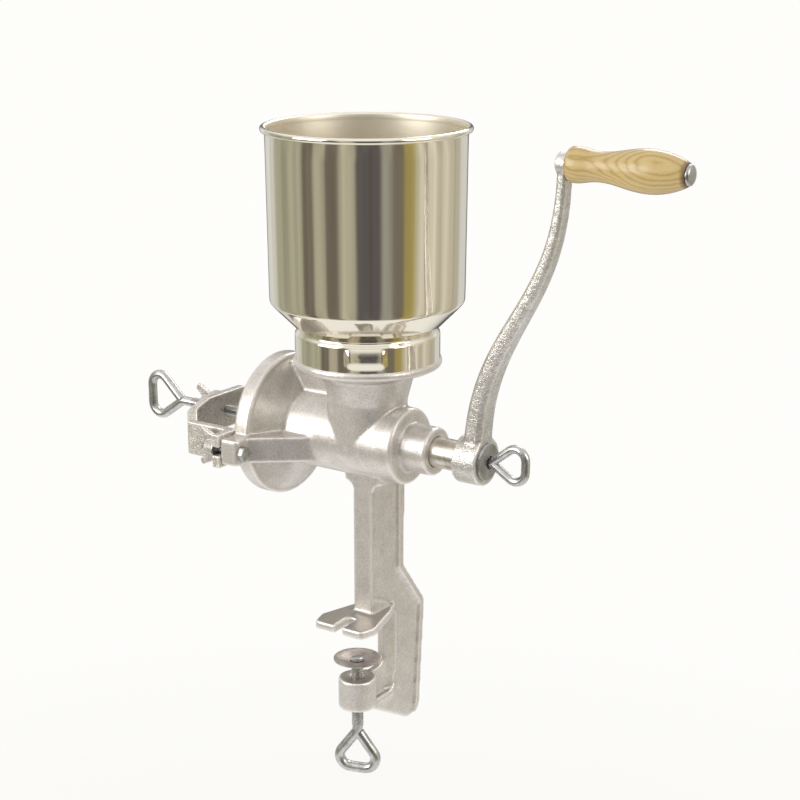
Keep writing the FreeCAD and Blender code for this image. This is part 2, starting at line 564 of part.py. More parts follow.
turning_burr = new_body("rotating_burr_plate")
turned(turning_burr, "Revolution", "H_Axis", [
    ("-burr_thickness - hub_length", "stub_radius + running_gap"), ("-burr_thickness - hub_length", "hub_radius"),
    ("-burr_thickness", "hub_radius + 3"), ("-burr_thickness", "turning_burr_radius"),
    ("0", "turning_burr_radius"), ("0", "burr_bore"), ("-burr_thickness / 2", "worm_root + 2"),
    ("-burr_thickness / 2", "stub_radius + running_gap")])
furrows(turning_burr, "turning_burr_radius", False)
padded(turning_burr, "XY_Plane", "2 * hub_radius + 4",
       circles=[("-burr_thickness - hub_length / 2", "0", "drive_pin")], both=True, kind="Pocket")
place_on_mill(turning_burr, "-bell_reach + dish_depth - burr_thickness - burr_gap")

# Plate screws: three countersunk screws through the fixed burr into the bell's floor.
plate_screw = new_body("burr_plate_screw_master")
turned(plate_screw, "Revolution", "H_Axis", [
    ("furrow_depth + 0.5", "0"), ("furrow_depth + 0.5", "plate_screw"),
    ("burr_thickness + plate_screw_bite", "plate_screw"), ("burr_thickness + plate_screw_bite", "0")])


def group(label, master, spots):
    """One node of equal pieces: copies of the master at spots about the mill's centre."""
    doc.recompute()
    copies = []
    for x, y, z in spots:
        copy = master.Shape.copy()
        copy.Placement = FreeCAD.Placement(V(size(x), size(y), size(z)), FreeCAD.Rotation()).multiply(copy.Placement)
        copies.append(copy)
    piece = shaped(label, Part.makeCompound(copies))
    place_on_mill(piece)
    return piece


group("burr_plate_screws", plate_screw,
      [("-bell_reach + dish_depth - burr_thickness", y, z) for y, z in plate_screw_spots])

# Feed worm: cast in one with the driving shaft. A stub at the front carries the rotating burr, and the square
# end behind the bearing carries the crank.
worm = new_body("feed_worm")
hub_end = "-bell_reach + dish_depth - 1.5 * burr_thickness - burr_gap"
stub_end = "-bell_reach + dish_depth - 2 * burr_thickness - burr_gap - hub_length - stub_proud"
turned(worm, "Revolution", "H_Axis", [
    (stub_end, "0"), (stub_end, "stub_radius"), (hub_end, "stub_radius"), (hub_end, "worm_root"),
    ("barrel_end - barrel_end_wall - seat_gap", "worm_root"),
    ("barrel_end - barrel_end_wall - seat_gap", "shaft_radius"), ("crank_x", "shaft_radius"), ("crank_x", "0")])
padded(worm, "YZ_Plane", "crank_hub_length - 1", [[
    ("-square_half", "-square_half"), ("square_half", "-square_half"), ("square_half", "square_half"),
    ("-square_half", "square_half")]], offset="crank_x")
flight = new_sketch(worm, "XZ_Plane")
flight_start = "-bell_reach + dish_depth - burr_thickness"
draw_outline(flight, [(flight_start, "worm_root - 1"), (flight_start + " + flight_wall", "worm_root - 1"),
                      (flight_start + " + flight_wall * 0.8", "barrel_bore - worm_gap"),
                      (flight_start + " + flight_wall * 0.2", "barrel_bore - worm_gap")])
helix = worm.newObject("PartDesign::AdditiveHelix", "feed_worm_flight")
helix.Profile = flight
helix.ReferenceAxis = (flight, ["H_Axis"])
helix.Mode = "pitch-height-angle"
bind(helix, "Pitch", "worm_pitch")
bind(helix, "Height", "bell_reach - dish_depth + burr_thickness + barrel_end - barrel_end_wall - flight_wall - 3")
doc.recompute()
padded(worm, "YZ_Plane", "thumb_length", circles=[("0", "0", "thumb_rod")],
       offset="crank_x + crank_hub_length - 1", kind="Pocket")
padded(worm, "YZ_Plane", "ball_seat", circles=[("0", "0", "ball_radius + 0.2")],
       offset=stub_end, kind="Pocket", back=True)
padded(worm, "XY_Plane", "2 * stub_radius + 2", circles=[(
    "-bell_reach + dish_depth - 2 * burr_thickness - burr_gap - hub_length / 2", "0", "drive_pin")],
    both=True, kind="Pocket")
place_on_mill(worm)

# Drive pin: a steel cross pin through the hub and the stub.
drive_pin = new_body("drive_pin")
padded(drive_pin, "XY_Plane", "2 * hub_radius - 1", circles=[("0", "0", "drive_pin")], both=True)
place_on_mill(drive_pin, "-bell_reach + dish_depth - 2 * burr_thickness - burr_gap - hub_length / 2")

# Thrust ball: a steel ball in the stub's seat, on which the adjusting screw presses.
ball = doc.addObject("Part::Sphere", "thrust_ball")
bind(ball, "Radius", "ball_radius")
ball_x = stub_end + " + ball_seat - ball_radius - 0.02"
place_on_mill(ball, ball_x)

# Adjusting bridge: a cast yoke on the two ears, with a tapped boss on the shaft's axis.
bridge = new_body("adjusting_bridge")
half_yoke = [
    ("-bell_reach - bridge_foot", "ear_reach + fork_reach"), ("-bell_reach - bridge_foot", "bridge_half_span"),
    ("-bell_reach - bridge_reach + 14", "bridge_half_span"), ("-bell_reach - bridge_reach", "bridge_half_span - 16")]
half_hollow = [
    ("-bell_reach - bridge_reach + bridge_wall", "bridge_half_span - 16 - bridge_wall / 2"),
    ("-bell_reach - bridge_reach + 14 + bridge_wall / 2", "bridge_half_span - bridge_wall"),
    ("-bell_reach", "bridge_half_span - bridge_wall"), ("-bell_reach", "ear_reach + fork_reach")]
yoke = half_yoke + [(x, f"-({y})") for x, y in reversed(half_yoke)]
hollow = [(x, f"-({y})") for x, y in reversed(half_hollow)] + half_hollow
padded(bridge, "XY_Plane", "bridge_top + bridge_foot_low", [yoke + hollow], offset="-bridge_foot_low")
softened(bridge, "4", posts("z", ("-bell_reach - bridge_reach + 14", "bridge_half_span"),
                            ("-bell_reach - bridge_reach + 14", "-bridge_half_span"),
                            ("-bell_reach - bridge_reach", "bridge_half_span - 16"),
                            ("-bell_reach - bridge_reach", "16 - bridge_half_span")))
half_step = [("arch_half", "bridge_top"), ("bridge_half_span - bridge_wall", "foot_top"),
             ("ear_reach + fork_reach + 1", "foot_top"), ("ear_reach + fork_reach + 1", "bridge_top + 1"),
             ("arch_half", "bridge_top + 1")]
padded(bridge, "YZ_Plane", "bridge_reach + 2", offset="-bell_reach + 1", kind="Pocket", outlines=[
    half_step, [(f"-({y})", z) for y, z in half_step],
    [("-arch_half", "-bridge_low"), ("arch_half", "-bridge_low"),
     ("bridge_half_span - bridge_wall", "-bridge_foot_low - 1"),
     ("bridge_wall - bridge_half_span", "-bridge_foot_low - 1")]])
padded(bridge, "YZ_Plane", "bridge_boss + 2", circles=[("0", "0", "bridge_boss_radius")],
       offset="-bell_reach - bridge_reach - bridge_boss")
softened(bridge, "1.5", rings("x", ("-bell_reach - bridge_reach - bridge_boss", "bridge_boss_radius")))
padded(bridge, "YZ_Plane", "bridge_boss + bridge_wall + 4", circles=[("0", "0", "adjuster_radius + running_gap")],
       offset="-bell_reach - bridge_reach - bridge_boss - 1", kind="Pocket", back=True)
padded(bridge, "YZ_Plane", "bridge_foot + 2", circles=[
    ("stud_y", "-stud_drop", "stud_radius + seat_gap"), ("-stud_y", "-stud_drop", "stud_radius + seat_gap")],
    offset="-bell_reach - bridge_foot - 1", kind="Pocket", back=True)
half_slot = [("stud_y", "-stud_drop - stud_radius - seat_gap"),
             ("ear_reach + fork_reach + 1", "-stud_drop - stud_radius - seat_gap"),
             ("ear_reach + fork_reach + 1", "-stud_drop + stud_radius + seat_gap"),
             ("stud_y", "-stud_drop + stud_radius + seat_gap")]
padded(bridge, "YZ_Plane", "bridge_foot + 2", offset="-bell_reach - bridge_foot - 1", kind="Pocket", back=True,
       outlines=[half_slot, [(f"-({y})", z) for y, z in half_slot]])
place_on_mill(bridge)


def wing_nut(label, hub, length, span, bore):
    """A cast wing nut about the X axis, seated on X = 0, its two wings standing up and down towards -X."""
    nut = new_body(label)
    half_wing = [(f"-{length}", f"{hub} - 2"), (f"-{length} - wing_rise", f"{span} - 4"),
                 (f"-{length} - wing_rise + 2", span), ("-2", f"{hub} + 2.5"), ("-1", f"{hub} - 1")]
    padded(nut, "XZ_Plane", "wing_wall",
           [half_wing + [(x, f"-({y})") for x, y in reversed(half_wing)]], both=True)
    softened(nut, "wing_wall / 2 - 0.2", posts("y", *half_wing[1:3], *[(x, f"-({y})") for x, y in half_wing[1:3]]))
    turned(nut, "Revolution", "H_Axis", [("0", "0"), ("0", hub), (f"-{length}", f"{hub} - 1.5"), (f"-{length}", "0")])
    padded(nut, "YZ_Plane", f"{length} + wing_rise + 2", circles=[("0", "0", bore)], offset="1", kind="Pocket")
    return nut


# Studs, washers and wing nuts that hold the bridge to the ears.
stud = new_body("bridge_stud_master")
padded(stud, "YZ_Plane", "ear_thickness + bridge_foot + washer_wall + nut_length + stud_proud",
       circles=[("0", "0", "stud_radius")], offset="-bridge_foot - washer_wall - nut_length - stud_proud")
padded(stud, "YZ_Plane", "stud_head_wall", offset="ear_thickness", outlines=[[
    (f"stud_head * cos({turn})", f"stud_head * sin({turn})") for turn in range(0, 360, 60)]])
ear_spots = [("-bell_reach", "stud_y", "-stud_drop"), ("-bell_reach", "-stud_y", "-stud_drop")]
group("bridge_studs", stud, ear_spots)
washer = new_body("bridge_washer_master")
padded(washer, "YZ_Plane", "washer_wall", offset="-bridge_foot - washer_wall",
       circles=[("0", "0", "nut_radius + washer_rim"), ("0", "0", "stud_radius + seat_gap")])
group("bridge_washers", washer, ear_spots)
ear_nut = wing_nut("bridge_wing_nut_master", "nut_radius", "nut_length", "wing_span", "stud_radius")
group("bridge_wing_nuts", ear_nut, [("-bell_reach - bridge_foot - washer_wall", y, z) for x, y, z in ear_spots])

# Lock nut: a wing nut on the adjusting screw, against the bridge's boss.
lock_nut = wing_nut("lock_nut", "lock_nut_radius", "nut_length", "lock_wing_span", "adjuster_radius + running_gap")
place_on_mill(lock_nut, "-bell_reach - bridge_reach - bridge_boss")

# Eye screws: bent from round bar. The rod is straight and the eye is a rounded triangle on its end.
rod = Part.makeCylinder
adjuster_tip = ball_x + " - ball_radius - 0.02"
adjuster_eye = "-bell_reach - bridge_reach - bridge_boss - nut_length - adjuster_stem"
loop = eye_loop(size("adjuster_loop"), size("adjuster_loop_half"), size("adjuster_wire"), size("loop_round"))
loop.rotate(V(), V(0, 0, 1), 180)
adjuster = loop.translated(V(size(adjuster_eye), 0, 0)).fuse(
    rod(size("adjuster_radius"), size(adjuster_tip) - size(adjuster_eye), V(size(adjuster_eye), 0, 0), V(1, 0, 0)))
place_on_mill(shaped("adjusting_screw", adjuster))

thumb_seat = "crank_x + crank_hub_length + crank_washer"
loop = eye_loop(size("thumb_loop"), size("thumb_loop_half"), size("thumb_wire"), size("loop_round"))
thumb = loop.translated(V(size(thumb_seat + " + thumb_stem"), 0, 0)).fuse([
    rod(size("thumb_rod"), size("thumb_length - 1 + thumb_stem"),
        V(size(thumb_seat + " - thumb_length + 1"), 0, 0), V(1, 0, 0)),
    rod(size("thumb_collar"), size("thumb_stem"), V(size(thumb_seat), 0, 0), V(1, 0, 0))])
place_on_mill(shaped("crank_thumb_screw", thumb))

clamp_screw_top = "-pad_dish - pad_wall - running_gap"
clamp_eye = "-clamp_boss_top - clamp_boss_height - clamp_stem + pad_drop"
loop = eye_loop(size("clamp_loop"), size("clamp_loop_half"), size("clamp_wire"), size("loop_round"))
loop.rotate(V(), V(0, 1, 0), 90)
loop.rotate(V(), V(0, 0, 1), size("clamp_eye_turn"))
clamp = loop.translated(V(0, 0, size(clamp_eye))).fuse([
    rod(size("clamp_rod"), size(clamp_screw_top) - size(clamp_eye), V(0, 0, size(clamp_eye))),
    rod(size("pad_hole"), size("pad_wall + 2 * running_gap + pad_rivet"), V(0, 0, size(clamp_screw_top))),
    rod(size("pad_hole + rivet_rim"), size("pad_rivet"), V(0, 0, size("-pad_dish + running_gap")))])
place(shaped("clamp_screw", clamp), z="-pad_drop")

# Clamp pad: a dished steel disc that swivels on the screw's riveted end.
pad = new_body("clamp_pad")
turned(pad, "Revolution", "V_Axis", [
    ("pad_hole + running_gap", "-pad_dish"), ("pad_radius * 0.36", "-pad_dish"), ("pad_radius * 0.6", "0"),
    ("pad_radius", "0"), ("pad_radius", "-pad_wall"), ("pad_radius * 0.6 + 0.4", "-pad_wall"),
    ("pad_radius * 0.36 + 0.4", "-pad_dish - pad_wall"), ("pad_hole + running_gap", "-pad_dish - pad_wall")])
place(pad, z="-pad_drop")

# Crank washer under the eye screw.
crank_washer = new_body("crank_washer")
padded(crank_washer, "YZ_Plane", "crank_washer",
       circles=[("0", "0", "crank_washer_radius"), ("0", "0", "thumb_rod + seat_gap")])
place_on_mill(crank_washer, "crank_x + crank_hub_length")


def arm_section(middle, way, width, wall, corner):
    """A rounded rectangle square to the arm's run: its width lies across the crank's plane."""
    across = V(0, 1, 0)
    side = across.cross(way).normalize()
    half_width, half_wall = across * (width / 2), side * (wall / 2)
    cut_width, cut_wall = across * corner, side * corner
    spots = []
    for sign_width, sign_wall, width_first in ((1, 1, True), (-1, 1, False), (-1, -1, True), (1, -1, False)):
        spot = middle + half_width * sign_width + half_wall * sign_wall
        pair = [spot - cut_wall * sign_wall, spot - cut_width * sign_width]
        spots += pair if width_first else pair[::-1]
    return Part.makePolygon(spots + spots[:1])


# Crank arm: cast iron. The arm is led along one S-curve from the hub to the eye and tapers on the way.
arm_foot = V(size("crank_x + crank_hub_length / 2 + 2"), 0, 0)
arm_head = V(size("grip_plane"), 0, size("crank_radius"))
low_pull = arm_foot + V(-2, 0, size("arm_low_pull"))
high_pull = arm_head + V(2.5, 0, -size("arm_high_pull"))
run = Part.BezierCurve()
run.setPoles([arm_foot, low_pull, high_pull, arm_head])
sections = []
ARM_SECTIONS = 12
for number in range(ARM_SECTIONS + 1):
    share = number / ARM_SECTIONS
    width = size("arm_low_width") * (1 - share) + size("arm_high_width") * share
    wall = size("arm_low_wall") * (1 - share) + size("arm_high_wall") * share
    sections.append(arm_section(run.value(share), run.tangent(share)[0].normalize(), width, wall, wall * 0.24))
arm = Part.makeLoft(sections, True, False)
arm = arm.fuse([
    rod(size("crank_hub_radius"), size("crank_hub_length"), V(size("crank_x"), 0, 0), V(1, 0, 0)),
    rod(size("eye_radius"), size("eye_thickness"), arm_head - V(size("eye_thickness / 2"), 0, 0), V(1, 0, 0))])
side = size("square_half + running_gap")
arm = arm.cut([
    Part.makeBox(size("crank_hub_length") + 2, 2 * side, 2 * side, V(size("crank_x") - 1, -side, -side)),
    rod(size("pin_radius"), size("eye_thickness") + 2, arm_head - V(size("eye_thickness / 2") + 1, 0, 0), V(1, 0, 0))])
place_on_mill(shaped("crank_arm", arm))

# Grip pin: riveted over at the arm, with a domed head at the grip's tip.
grip_pin = new_body("grip_pin")
eye_face = "eye_thickness / 2"
grip_start = "eye_thickness / 2 + grip_washer + grip_play / 2"
grip_tip = "eye_thickness / 2 + grip_washer + grip_play + grip_length"
turned(grip_pin, "Revolution", "H_Axis", [
    ("-eye_thickness / 2 - 1.6", "0"), ("-eye_thickness / 2 - 1.6", "pin_radius"),
    ("-eye_thickness / 2", "pin_radius + 1.8"), ("-eye_thickness / 2", "pin_radius"), (grip_tip, "pin_radius"),
    (grip_tip, "pin_head_radius"), (grip_tip + " + pin_head / 2", "pin_head_radius - 0.6"),
    (grip_tip + " + pin_head", "pin_head_radius / 2"), (grip_tip + " + pin_head", "0")])
place_on_mill(grip_pin, "grip_plane", z="crank_radius")

# Grip washer between the wooden grip and the arm.
grip_washer = new_body("grip_washer")
padded(grip_washer, "YZ_Plane", "grip_washer",
       circles=[("0", "0", "eye_radius"), ("0", "0", "pin_radius + running_gap")])
place_on_mill(grip_washer, "grip_plane + eye_thickness / 2", z="crank_radius")

# Wooden grip: turned wood, free on its pin. It flares at the arm, has a waist, swells and ends in a small tip.
length = size("grip_length")
curve = Part.BSplineCurve()
curve.interpolate([
    V(0.02 * length, 0, size("grip_end_radius")), V(0.25 * length, 0, size("grip_waist_radius")),
    V(0.67 * length, 0, size("grip_belly_radius")), V(0.94 * length, 0, size("grip_tip_radius + 1.4"))])
bore = size("pin_radius + running_gap")
corners = [curve.EndPoint, V(length, 0, size("grip_tip_radius")), V(length, 0, bore), V(0, 0, bore),
           V(0, 0, size("grip_end_radius") - 1), curve.StartPoint]
outline = Part.Wire([curve.toShape(), *Part.makePolygon(corners).Edges])
grip = Part.Face(outline).revolve(V(0, 0, 0), V(1, 0, 0), 360)
place_on_mill(shaped("wooden_grip", grip), "grip_plane + " + grip_start, z="crank_radius")

NODES = [
    "mill_body", "hopper", "fixed_burr_plate", "burr_plate_screws", "rotating_burr_plate", "feed_worm", "drive_pin",
    "thrust_ball", "adjusting_bridge", "bridge_studs", "bridge_washers", "bridge_wing_nuts", "lock_nut",
    "adjusting_screw", "crank_arm", "crank_washer", "crank_thumb_screw", "grip_pin", "grip_washer", "wooden_grip",
    "clamp_screw", "clamp_pad"]
doc.recompute()
for thing in doc.Objects:
    assert not {"Invalid", "Error"} & set(thing.State), thing.Label + " failed"
pieces = {label: doc.getObjectsByLabel(label)[0] for label in NODES}
for label, piece in pieces.items():
    assert not piece.Shape.isNull() and piece.Shape.isValid(), label + " has no sound shape"
os.makedirs("parts", exist_ok=True)
for label, piece in pieces.items():
    piece.Shape.exportStep(f"parts/{label}.step")
    print(label, len(piece.Shape.Solids), "solids", round(piece.Shape.Volume), "mm3")
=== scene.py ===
"""Looks of a hand crank peanut grinder: a tinned cast-iron burr mill that clamps to a table, with a mirror
polished steel hopper, a rough cast crank with a varnished wooden grip, and bent steel eye screws.
"""

import math

import bpy
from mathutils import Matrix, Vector


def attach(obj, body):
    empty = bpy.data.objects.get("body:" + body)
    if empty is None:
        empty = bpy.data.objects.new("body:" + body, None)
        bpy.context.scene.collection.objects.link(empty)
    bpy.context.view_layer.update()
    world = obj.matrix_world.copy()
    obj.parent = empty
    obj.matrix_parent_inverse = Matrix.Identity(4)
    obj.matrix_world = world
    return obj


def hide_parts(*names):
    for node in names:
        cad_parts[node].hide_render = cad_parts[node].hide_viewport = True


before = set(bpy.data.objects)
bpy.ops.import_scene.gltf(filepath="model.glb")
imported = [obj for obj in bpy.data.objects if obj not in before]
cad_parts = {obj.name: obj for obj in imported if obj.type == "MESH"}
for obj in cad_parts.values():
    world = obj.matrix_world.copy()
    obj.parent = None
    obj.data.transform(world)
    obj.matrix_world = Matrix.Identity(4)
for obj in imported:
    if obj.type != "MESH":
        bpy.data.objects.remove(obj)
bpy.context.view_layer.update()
scene = bpy.context.scene
scene.view_settings.view_transform = "Standard"

# Camera: solved from the hopper's ellipses in the photograph, a long lens a little above the mill and to the
# right of its jaw.
CAMERA_SPOT = (0.7136, -0.9927, 0.5193)
CAMERA_TURN, CAMERA_DIP = 34.23, 15.93
FOCAL_PIXELS, FRAME_PIXELS, SENSOR_WIDTH = 1796, 800, 36
bpy.ops.object.select_all(action="DESELECT")
bpy.ops.object.camera_add(
    location=CAMERA_SPOT, rotation=(math.radians(90 - CAMERA_DIP), 0, math.radians(CAMERA_TURN)))
camera = bpy.context.object
camera.data.sensor_width = SENSOR_WIDTH
camera.data.lens = FOCAL_PIXELS / FRAME_PIXELS * SENSOR_WIDTH
scene.camera = camera

# Studio: a pale floor well below the hanging mill, white all round, and three soft lamps. What the polished
# steel mirrors is a room of cream, grey and olive walls with a bright ceiling, seen by reflections only.
PALE, CREAM, SAND, OLIVE = (205, 200, 185), (200, 190, 165), (175, 165, 140), (155, 150, 125)
DUSK, BROWN, DARK, OCHRE = (140, 135, 120), (110, 100, 85), (85, 80, 75), (150, 135, 80)
ROOM_PANELS = [  # degrees round the room, and the paint of the panel that hangs there
    (-180, DARK), (-170, DARK), (-160, PALE), (-140, PALE), (-120, OLIVE), (-80, OLIVE), (-75, BROWN),
    (-65, BROWN), (-60, SAND), (-50, SAND), (-45, BROWN), (-35, BROWN), (-25, SAND), (-15, OLIVE),
    (-10, DARK), (15, DARK), (20, DUSK), (25, DUSK), (35, BROWN), (40, BROWN), (45, OCHRE), (55, OCHRE),
    (65, CREAM), (105, CREAM), (120, SAND), (140, PALE), (155, PALE), (170, DARK), (180, DARK)]
ROOM_TURN = 55.77  # degrees that the room is turned round the mill
DRAPE_SWAY = 0.12  # radians that a panel's edge wanders
FOLD_STRETCH = (1, 1, 0.12)  # the panels' folds run up and down
CEILING_WHITE = (1.0, 0.985, 0.96, 1)
STEEL_TINT = (0.86, 0.81, 0.70)
SOFT_LIGHT, SOFT_STRENGTH = (1, 0.985, 0.975, 1), 0.55
BACKDROP = (0.99, 0.985, 0.965, 1)


def seen(rgb):
    """A colour as a picture gives it, from 0 to 255, turned into the light it stands for."""
    light = [v / 255 / 12.92 if v < 10 else ((v / 255 + 0.055) / 1.055) ** 2.4 for v in rgb]
    return tuple(round(v, 4) for v in light) + (1,)


def joined(tree, start, start_socket, end, end_socket):
    tree.links.new(start.outputs[start_socket], end.inputs[end_socket])


def node(tree, kind, x, y, **settings):
    """Adds a shader node at a place on the board and sets what is given by name."""
    made = tree.nodes.new(kind)
    made.location = (x, y)
    for name, value in settings.items():
        if name in made.inputs:
            made.inputs[name].default_value = value
        else:
            setattr(made, name, value)
    return made


# Sockets of a Mix node, for two colours and what they make, and for two values.
COLOUR_A, COLOUR_B, COLOUR_OUT = 6, 7, 2
VALUE_A, VALUE_B, VALUE_OUT = 2, 3, 0


def ranged(tree, x, y, source, socket, low, high, to_low=0.0, to_high=1.0):
    """A Map Range node on another node's output."""
    made = node(tree, "ShaderNodeMapRange", x, y, **{
        "From Min": low, "From Max": high, "To Min": to_low, "To Max": to_high})
    joined(tree, source, socket, made, "Value")
    return made


def ramp(tree, x, y, stops, smooth="LINEAR"):
    """A colour ramp through the given stops of a place and a colour."""
    made = node(tree, "ShaderNodeValToRGB", x, y)
    band = made.color_ramp
    band.interpolation = smooth
    band.elements[0].position = stops[0][0]
    band.elements[0].color = stops[0][1]
    band.elements[1].position = stops[-1][0]
    band.elements[1].color = stops[-1][1]
    for place, colour in stops[1:-1]:
        band.elements.new(place).color = colour
    return made


def grey(value):
    return (value, value, value, 1)


world = bpy.data.worlds.new("studio_world")
scene.world = world
world.use_nodes = True
room = world.node_tree
room.nodes.clear()
direction = node(room, "ShaderNodeTexCoord", -1600, 0)
turned_room = node(room, "ShaderNodeVectorRotate", -1400, 0, rotation_type="Z_AXIS",
                   Angle=math.radians(ROOM_TURN))
joined(room, direction, "Generated", turned_room, "Vector")
parts = node(room, "ShaderNodeSeparateXYZ", -1200, 0)
joined(room, turned_room, "Vector", parts, "Vector")
bearing = node(room, "ShaderNodeMath", -1000, 100, operation="ARCTAN2")
joined(room, parts, "Y", bearing, 0)
joined(room, parts, "X", bearing, 1)
drape = node(room, "ShaderNodeTexNoise", -1000, 300, Scale=3.0, Detail=1.0)
joined(room, turned_room, "Vector", drape, "Vector")
hung = node(room, "ShaderNodeMath", -900, 200, operation="MULTIPLY_ADD")
hung.inputs[1].default_value = DRAPE_SWAY
joined(room, drape, "Fac", hung, 0)
joined(room, bearing, "Value", hung, 2)
round_turn = ranged(room, -800, 100, hung, "Value", -math.pi + DRAPE_SWAY / 2, math.pi + DRAPE_SWAY / 2)
walls = ramp(room, -600, 100, [
    ((degrees + 180) / 360, tuple(min(v / t, 1) for v, t in zip(seen(colour), STEEL_TINT)) + (1,))
    for degrees, colour in ROOM_PANELS], "EASE")
joined(room, round_turn, "Result", walls, "Fac")
rise = ranged(room, -800, -200, parts, "Z", -1, 1)
height = ramp(room, -600, -200, [
    (0, grey(0)), (0.5, grey(0)), (0.66, grey(0.2)), (0.8, grey(1)), (1, grey(1))])
joined(room, rise, "Result", height, "Fac")
long_folds = node(room, "ShaderNodeVectorMath", -1200, 400, operation="MULTIPLY")
joined(room, turned_room, "Vector", long_folds, 0)
long_folds.inputs[1].default_value = FOLD_STRETCH
folds = node(room, "ShaderNodeTexNoise", -1000, 500, Scale=6.0, Detail=3.0)
joined(room, long_folds, "Vector", folds, "Vector")
fold_tone = ramp(room, -800, 500, [(0.3, grey(0.74)), (0.5, grey(1)), (0.7, grey(1.24))])
joined(room, folds, "Fac", fold_tone, "Fac")
folded = node(room, "ShaderNodeMix", -450, 300, data_type="RGBA", blend_type="MULTIPLY")
folded.inputs[0].default_value = 1.0
joined(room, walls, "Color", folded, COLOUR_A)
joined(room, fold_tone, "Color", folded, COLOUR_B)
ceiling = node(room, "ShaderNodeMix", -300, 0, data_type="RGBA")
joined(room, height, "Color", ceiling, 0)
joined(room, folded, COLOUR_OUT, ceiling, COLOUR_A)
ceiling.inputs[COLOUR_B].default_value = CEILING_WHITE
mirrored = node(room, "ShaderNodeBackground", 0, 0, Strength=1.0)
joined(room, ceiling, COLOUR_OUT, mirrored, "Color")
soft_light = node(room, "ShaderNodeBackground", 0, 150, Color=SOFT_LIGHT, Strength=SOFT_STRENGTH)
backdrop = node(room, "ShaderNodeBackground", 0, 300, Color=BACKDROP, Strength=1.0)
rays = node(room, "ShaderNodeLightPath", -200, 500)
with_gloss = node(room, "ShaderNodeMixShader", 250, 0)
joined(room, rays, "Is Glossy Ray", with_gloss, "Fac")
joined(room, soft_light, "Background", with_gloss, 1)
joined(room, mirrored, "Background", with_gloss, 2)
clear_view = node(room, "ShaderNodeMath", 0, 500, operation="MAXIMUM")
joined(room, rays, "Is Camera Ray", clear_view, 0)
joined(room, rays, "Is Transmission Ray", clear_view, 1)
with_view = node(room, "ShaderNodeMixShader", 450, 100)
joined(room, clear_view, "Value", with_view, "Fac")
joined(room, with_gloss, "Shader", with_view, 1)
joined(room, backdrop, "Background", with_view, 2)
world_out = node(room, "ShaderNodeOutputWorld", 650, 100)
joined(room, with_view, "Shader", world_out, "Surface")


def new_paint(name):
    """A material with an empty board of nodes."""
    paint = bpy.data.materials.new(name)
    paint.use_nodes = True
    paint.node_tree.nodes.clear()
    return paint, paint.node_tree


FLOOR_RADIUS, FLOOR_LEVEL = 1.25, -0.48
FLOOR_PAINT = (0.9, 0.89, 0.87, 1)
GLOW_SHARE = 0.82  # how much of the floor's look is plain backdrop, so that its shadows stay faint
FADE_FROM, FADE_TO = 0.55, 1.2
bpy.ops.mesh.primitive_circle_add(vertices=128, radius=FLOOR_RADIUS, fill_type="NGON", location=(0, 0, 0))
bpy.ops.transform.translate(value=(0, 0, FLOOR_LEVEL))
floor = bpy.context.object
floor.name = "studio_floor"
floor_paint, board = new_paint("studio_floor_paint")
matt = node(board, "ShaderNodeBsdfDiffuse", 0, 0, Color=FLOOR_PAINT)
glow = node(board, "ShaderNodeEmission", 0, 200, Color=BACKDROP, Strength=1.0)
floor_rays = node(board, "ShaderNodeLightPath", -400, 300)
shown = node(board, "ShaderNodeMath", -200, 300, operation="MAXIMUM")
joined(board, floor_rays, "Is Camera Ray", shown, 0)
joined(board, floor_rays, "Is Glossy Ray", shown, 1)
shown_too = node(board, "ShaderNodeMath", 0, 400, operation="MAXIMUM")
joined(board, shown, "Value", shown_too, 0)
joined(board, floor_rays, "Is Transmission Ray", shown_too, 1)
share = node(board, "ShaderNodeMath", 200, 400, operation="MULTIPLY")
share.inputs[1].default_value = GLOW_SHARE
joined(board, shown_too, "Value", share, 0)
floor_mix = node(board, "ShaderNodeMixShader", 400, 100)
joined(board, share, "Value", floor_mix, "Fac")
joined(board, matt, "BSDF", floor_mix, 1)
joined(board, glow, "Emission", floor_mix, 2)
floor_spot = node(board, "ShaderNodeTexCoord", -400, -300)
from_middle = node(board, "ShaderNodeVectorMath", -200, -300, operation="LENGTH")
joined(board, floor_spot, "Object", from_middle, 0)
fade = ranged(board, 0, -300, from_middle, "Value", FADE_FROM, FADE_TO)
fade.interpolation_type = "SMOOTHSTEP"
clear = node(board, "ShaderNodeBsdfTransparent", 400, -100)
floor_edge = node(board, "ShaderNodeMixShader", 600, 100)
joined(board, fade, "Result", floor_edge, "Fac")
joined(board, floor_mix, "Shader", floor_edge, 1)
joined(board, clear, "BSDF", floor_edge, 2)
floor_out = node(board, "ShaderNodeOutputMaterial", 800, 100)
joined(board, floor_edge, "Shader", floor_out, "Surface")
floor.data.materials.append(floor_paint)


LAMP_AIM = (0, 0, 0.12)


def soft_lamp(name, spot, width, watts, tint):
    """A square soft box that points at the mill."""
    bpy.ops.object.light_add(type="AREA", location=spot)
    lamp = bpy.context.object
    lamp.name = name
    lamp.data.shape = "SQUARE"
    lamp.data.size = width
    lamp.data.energy = watts
    lamp.data.color = tint
    lamp.rotation_euler = (Vector(LAMP_AIM) - Vector(spot)).to_track_quat("-Z", "Y").to_euler()


soft_lamp("key_lamp", (-0.95, -1.65, 0.8), width=1.3, watts=22, tint=(1, 0.99, 0.985))
soft_lamp("fill_lamp", (1.9, 0.1, 1.0), width=1.1, watts=10, tint=(1, 0.985, 0.98))
soft_lamp("back_lamp", (-0.4, 1.7, 1.3), width=0.8, watts=8, tint=(1, 1, 1))

# Mill body: one iron casting, tinned, with the blended corners that a sand mould leaves. The feed barrel, the
# bell, the throat and its collar, the ears, the leg and the clamp's jaw and spine are all one piece.
SAME_CORNER = 0.00001  # metres between corners that are one


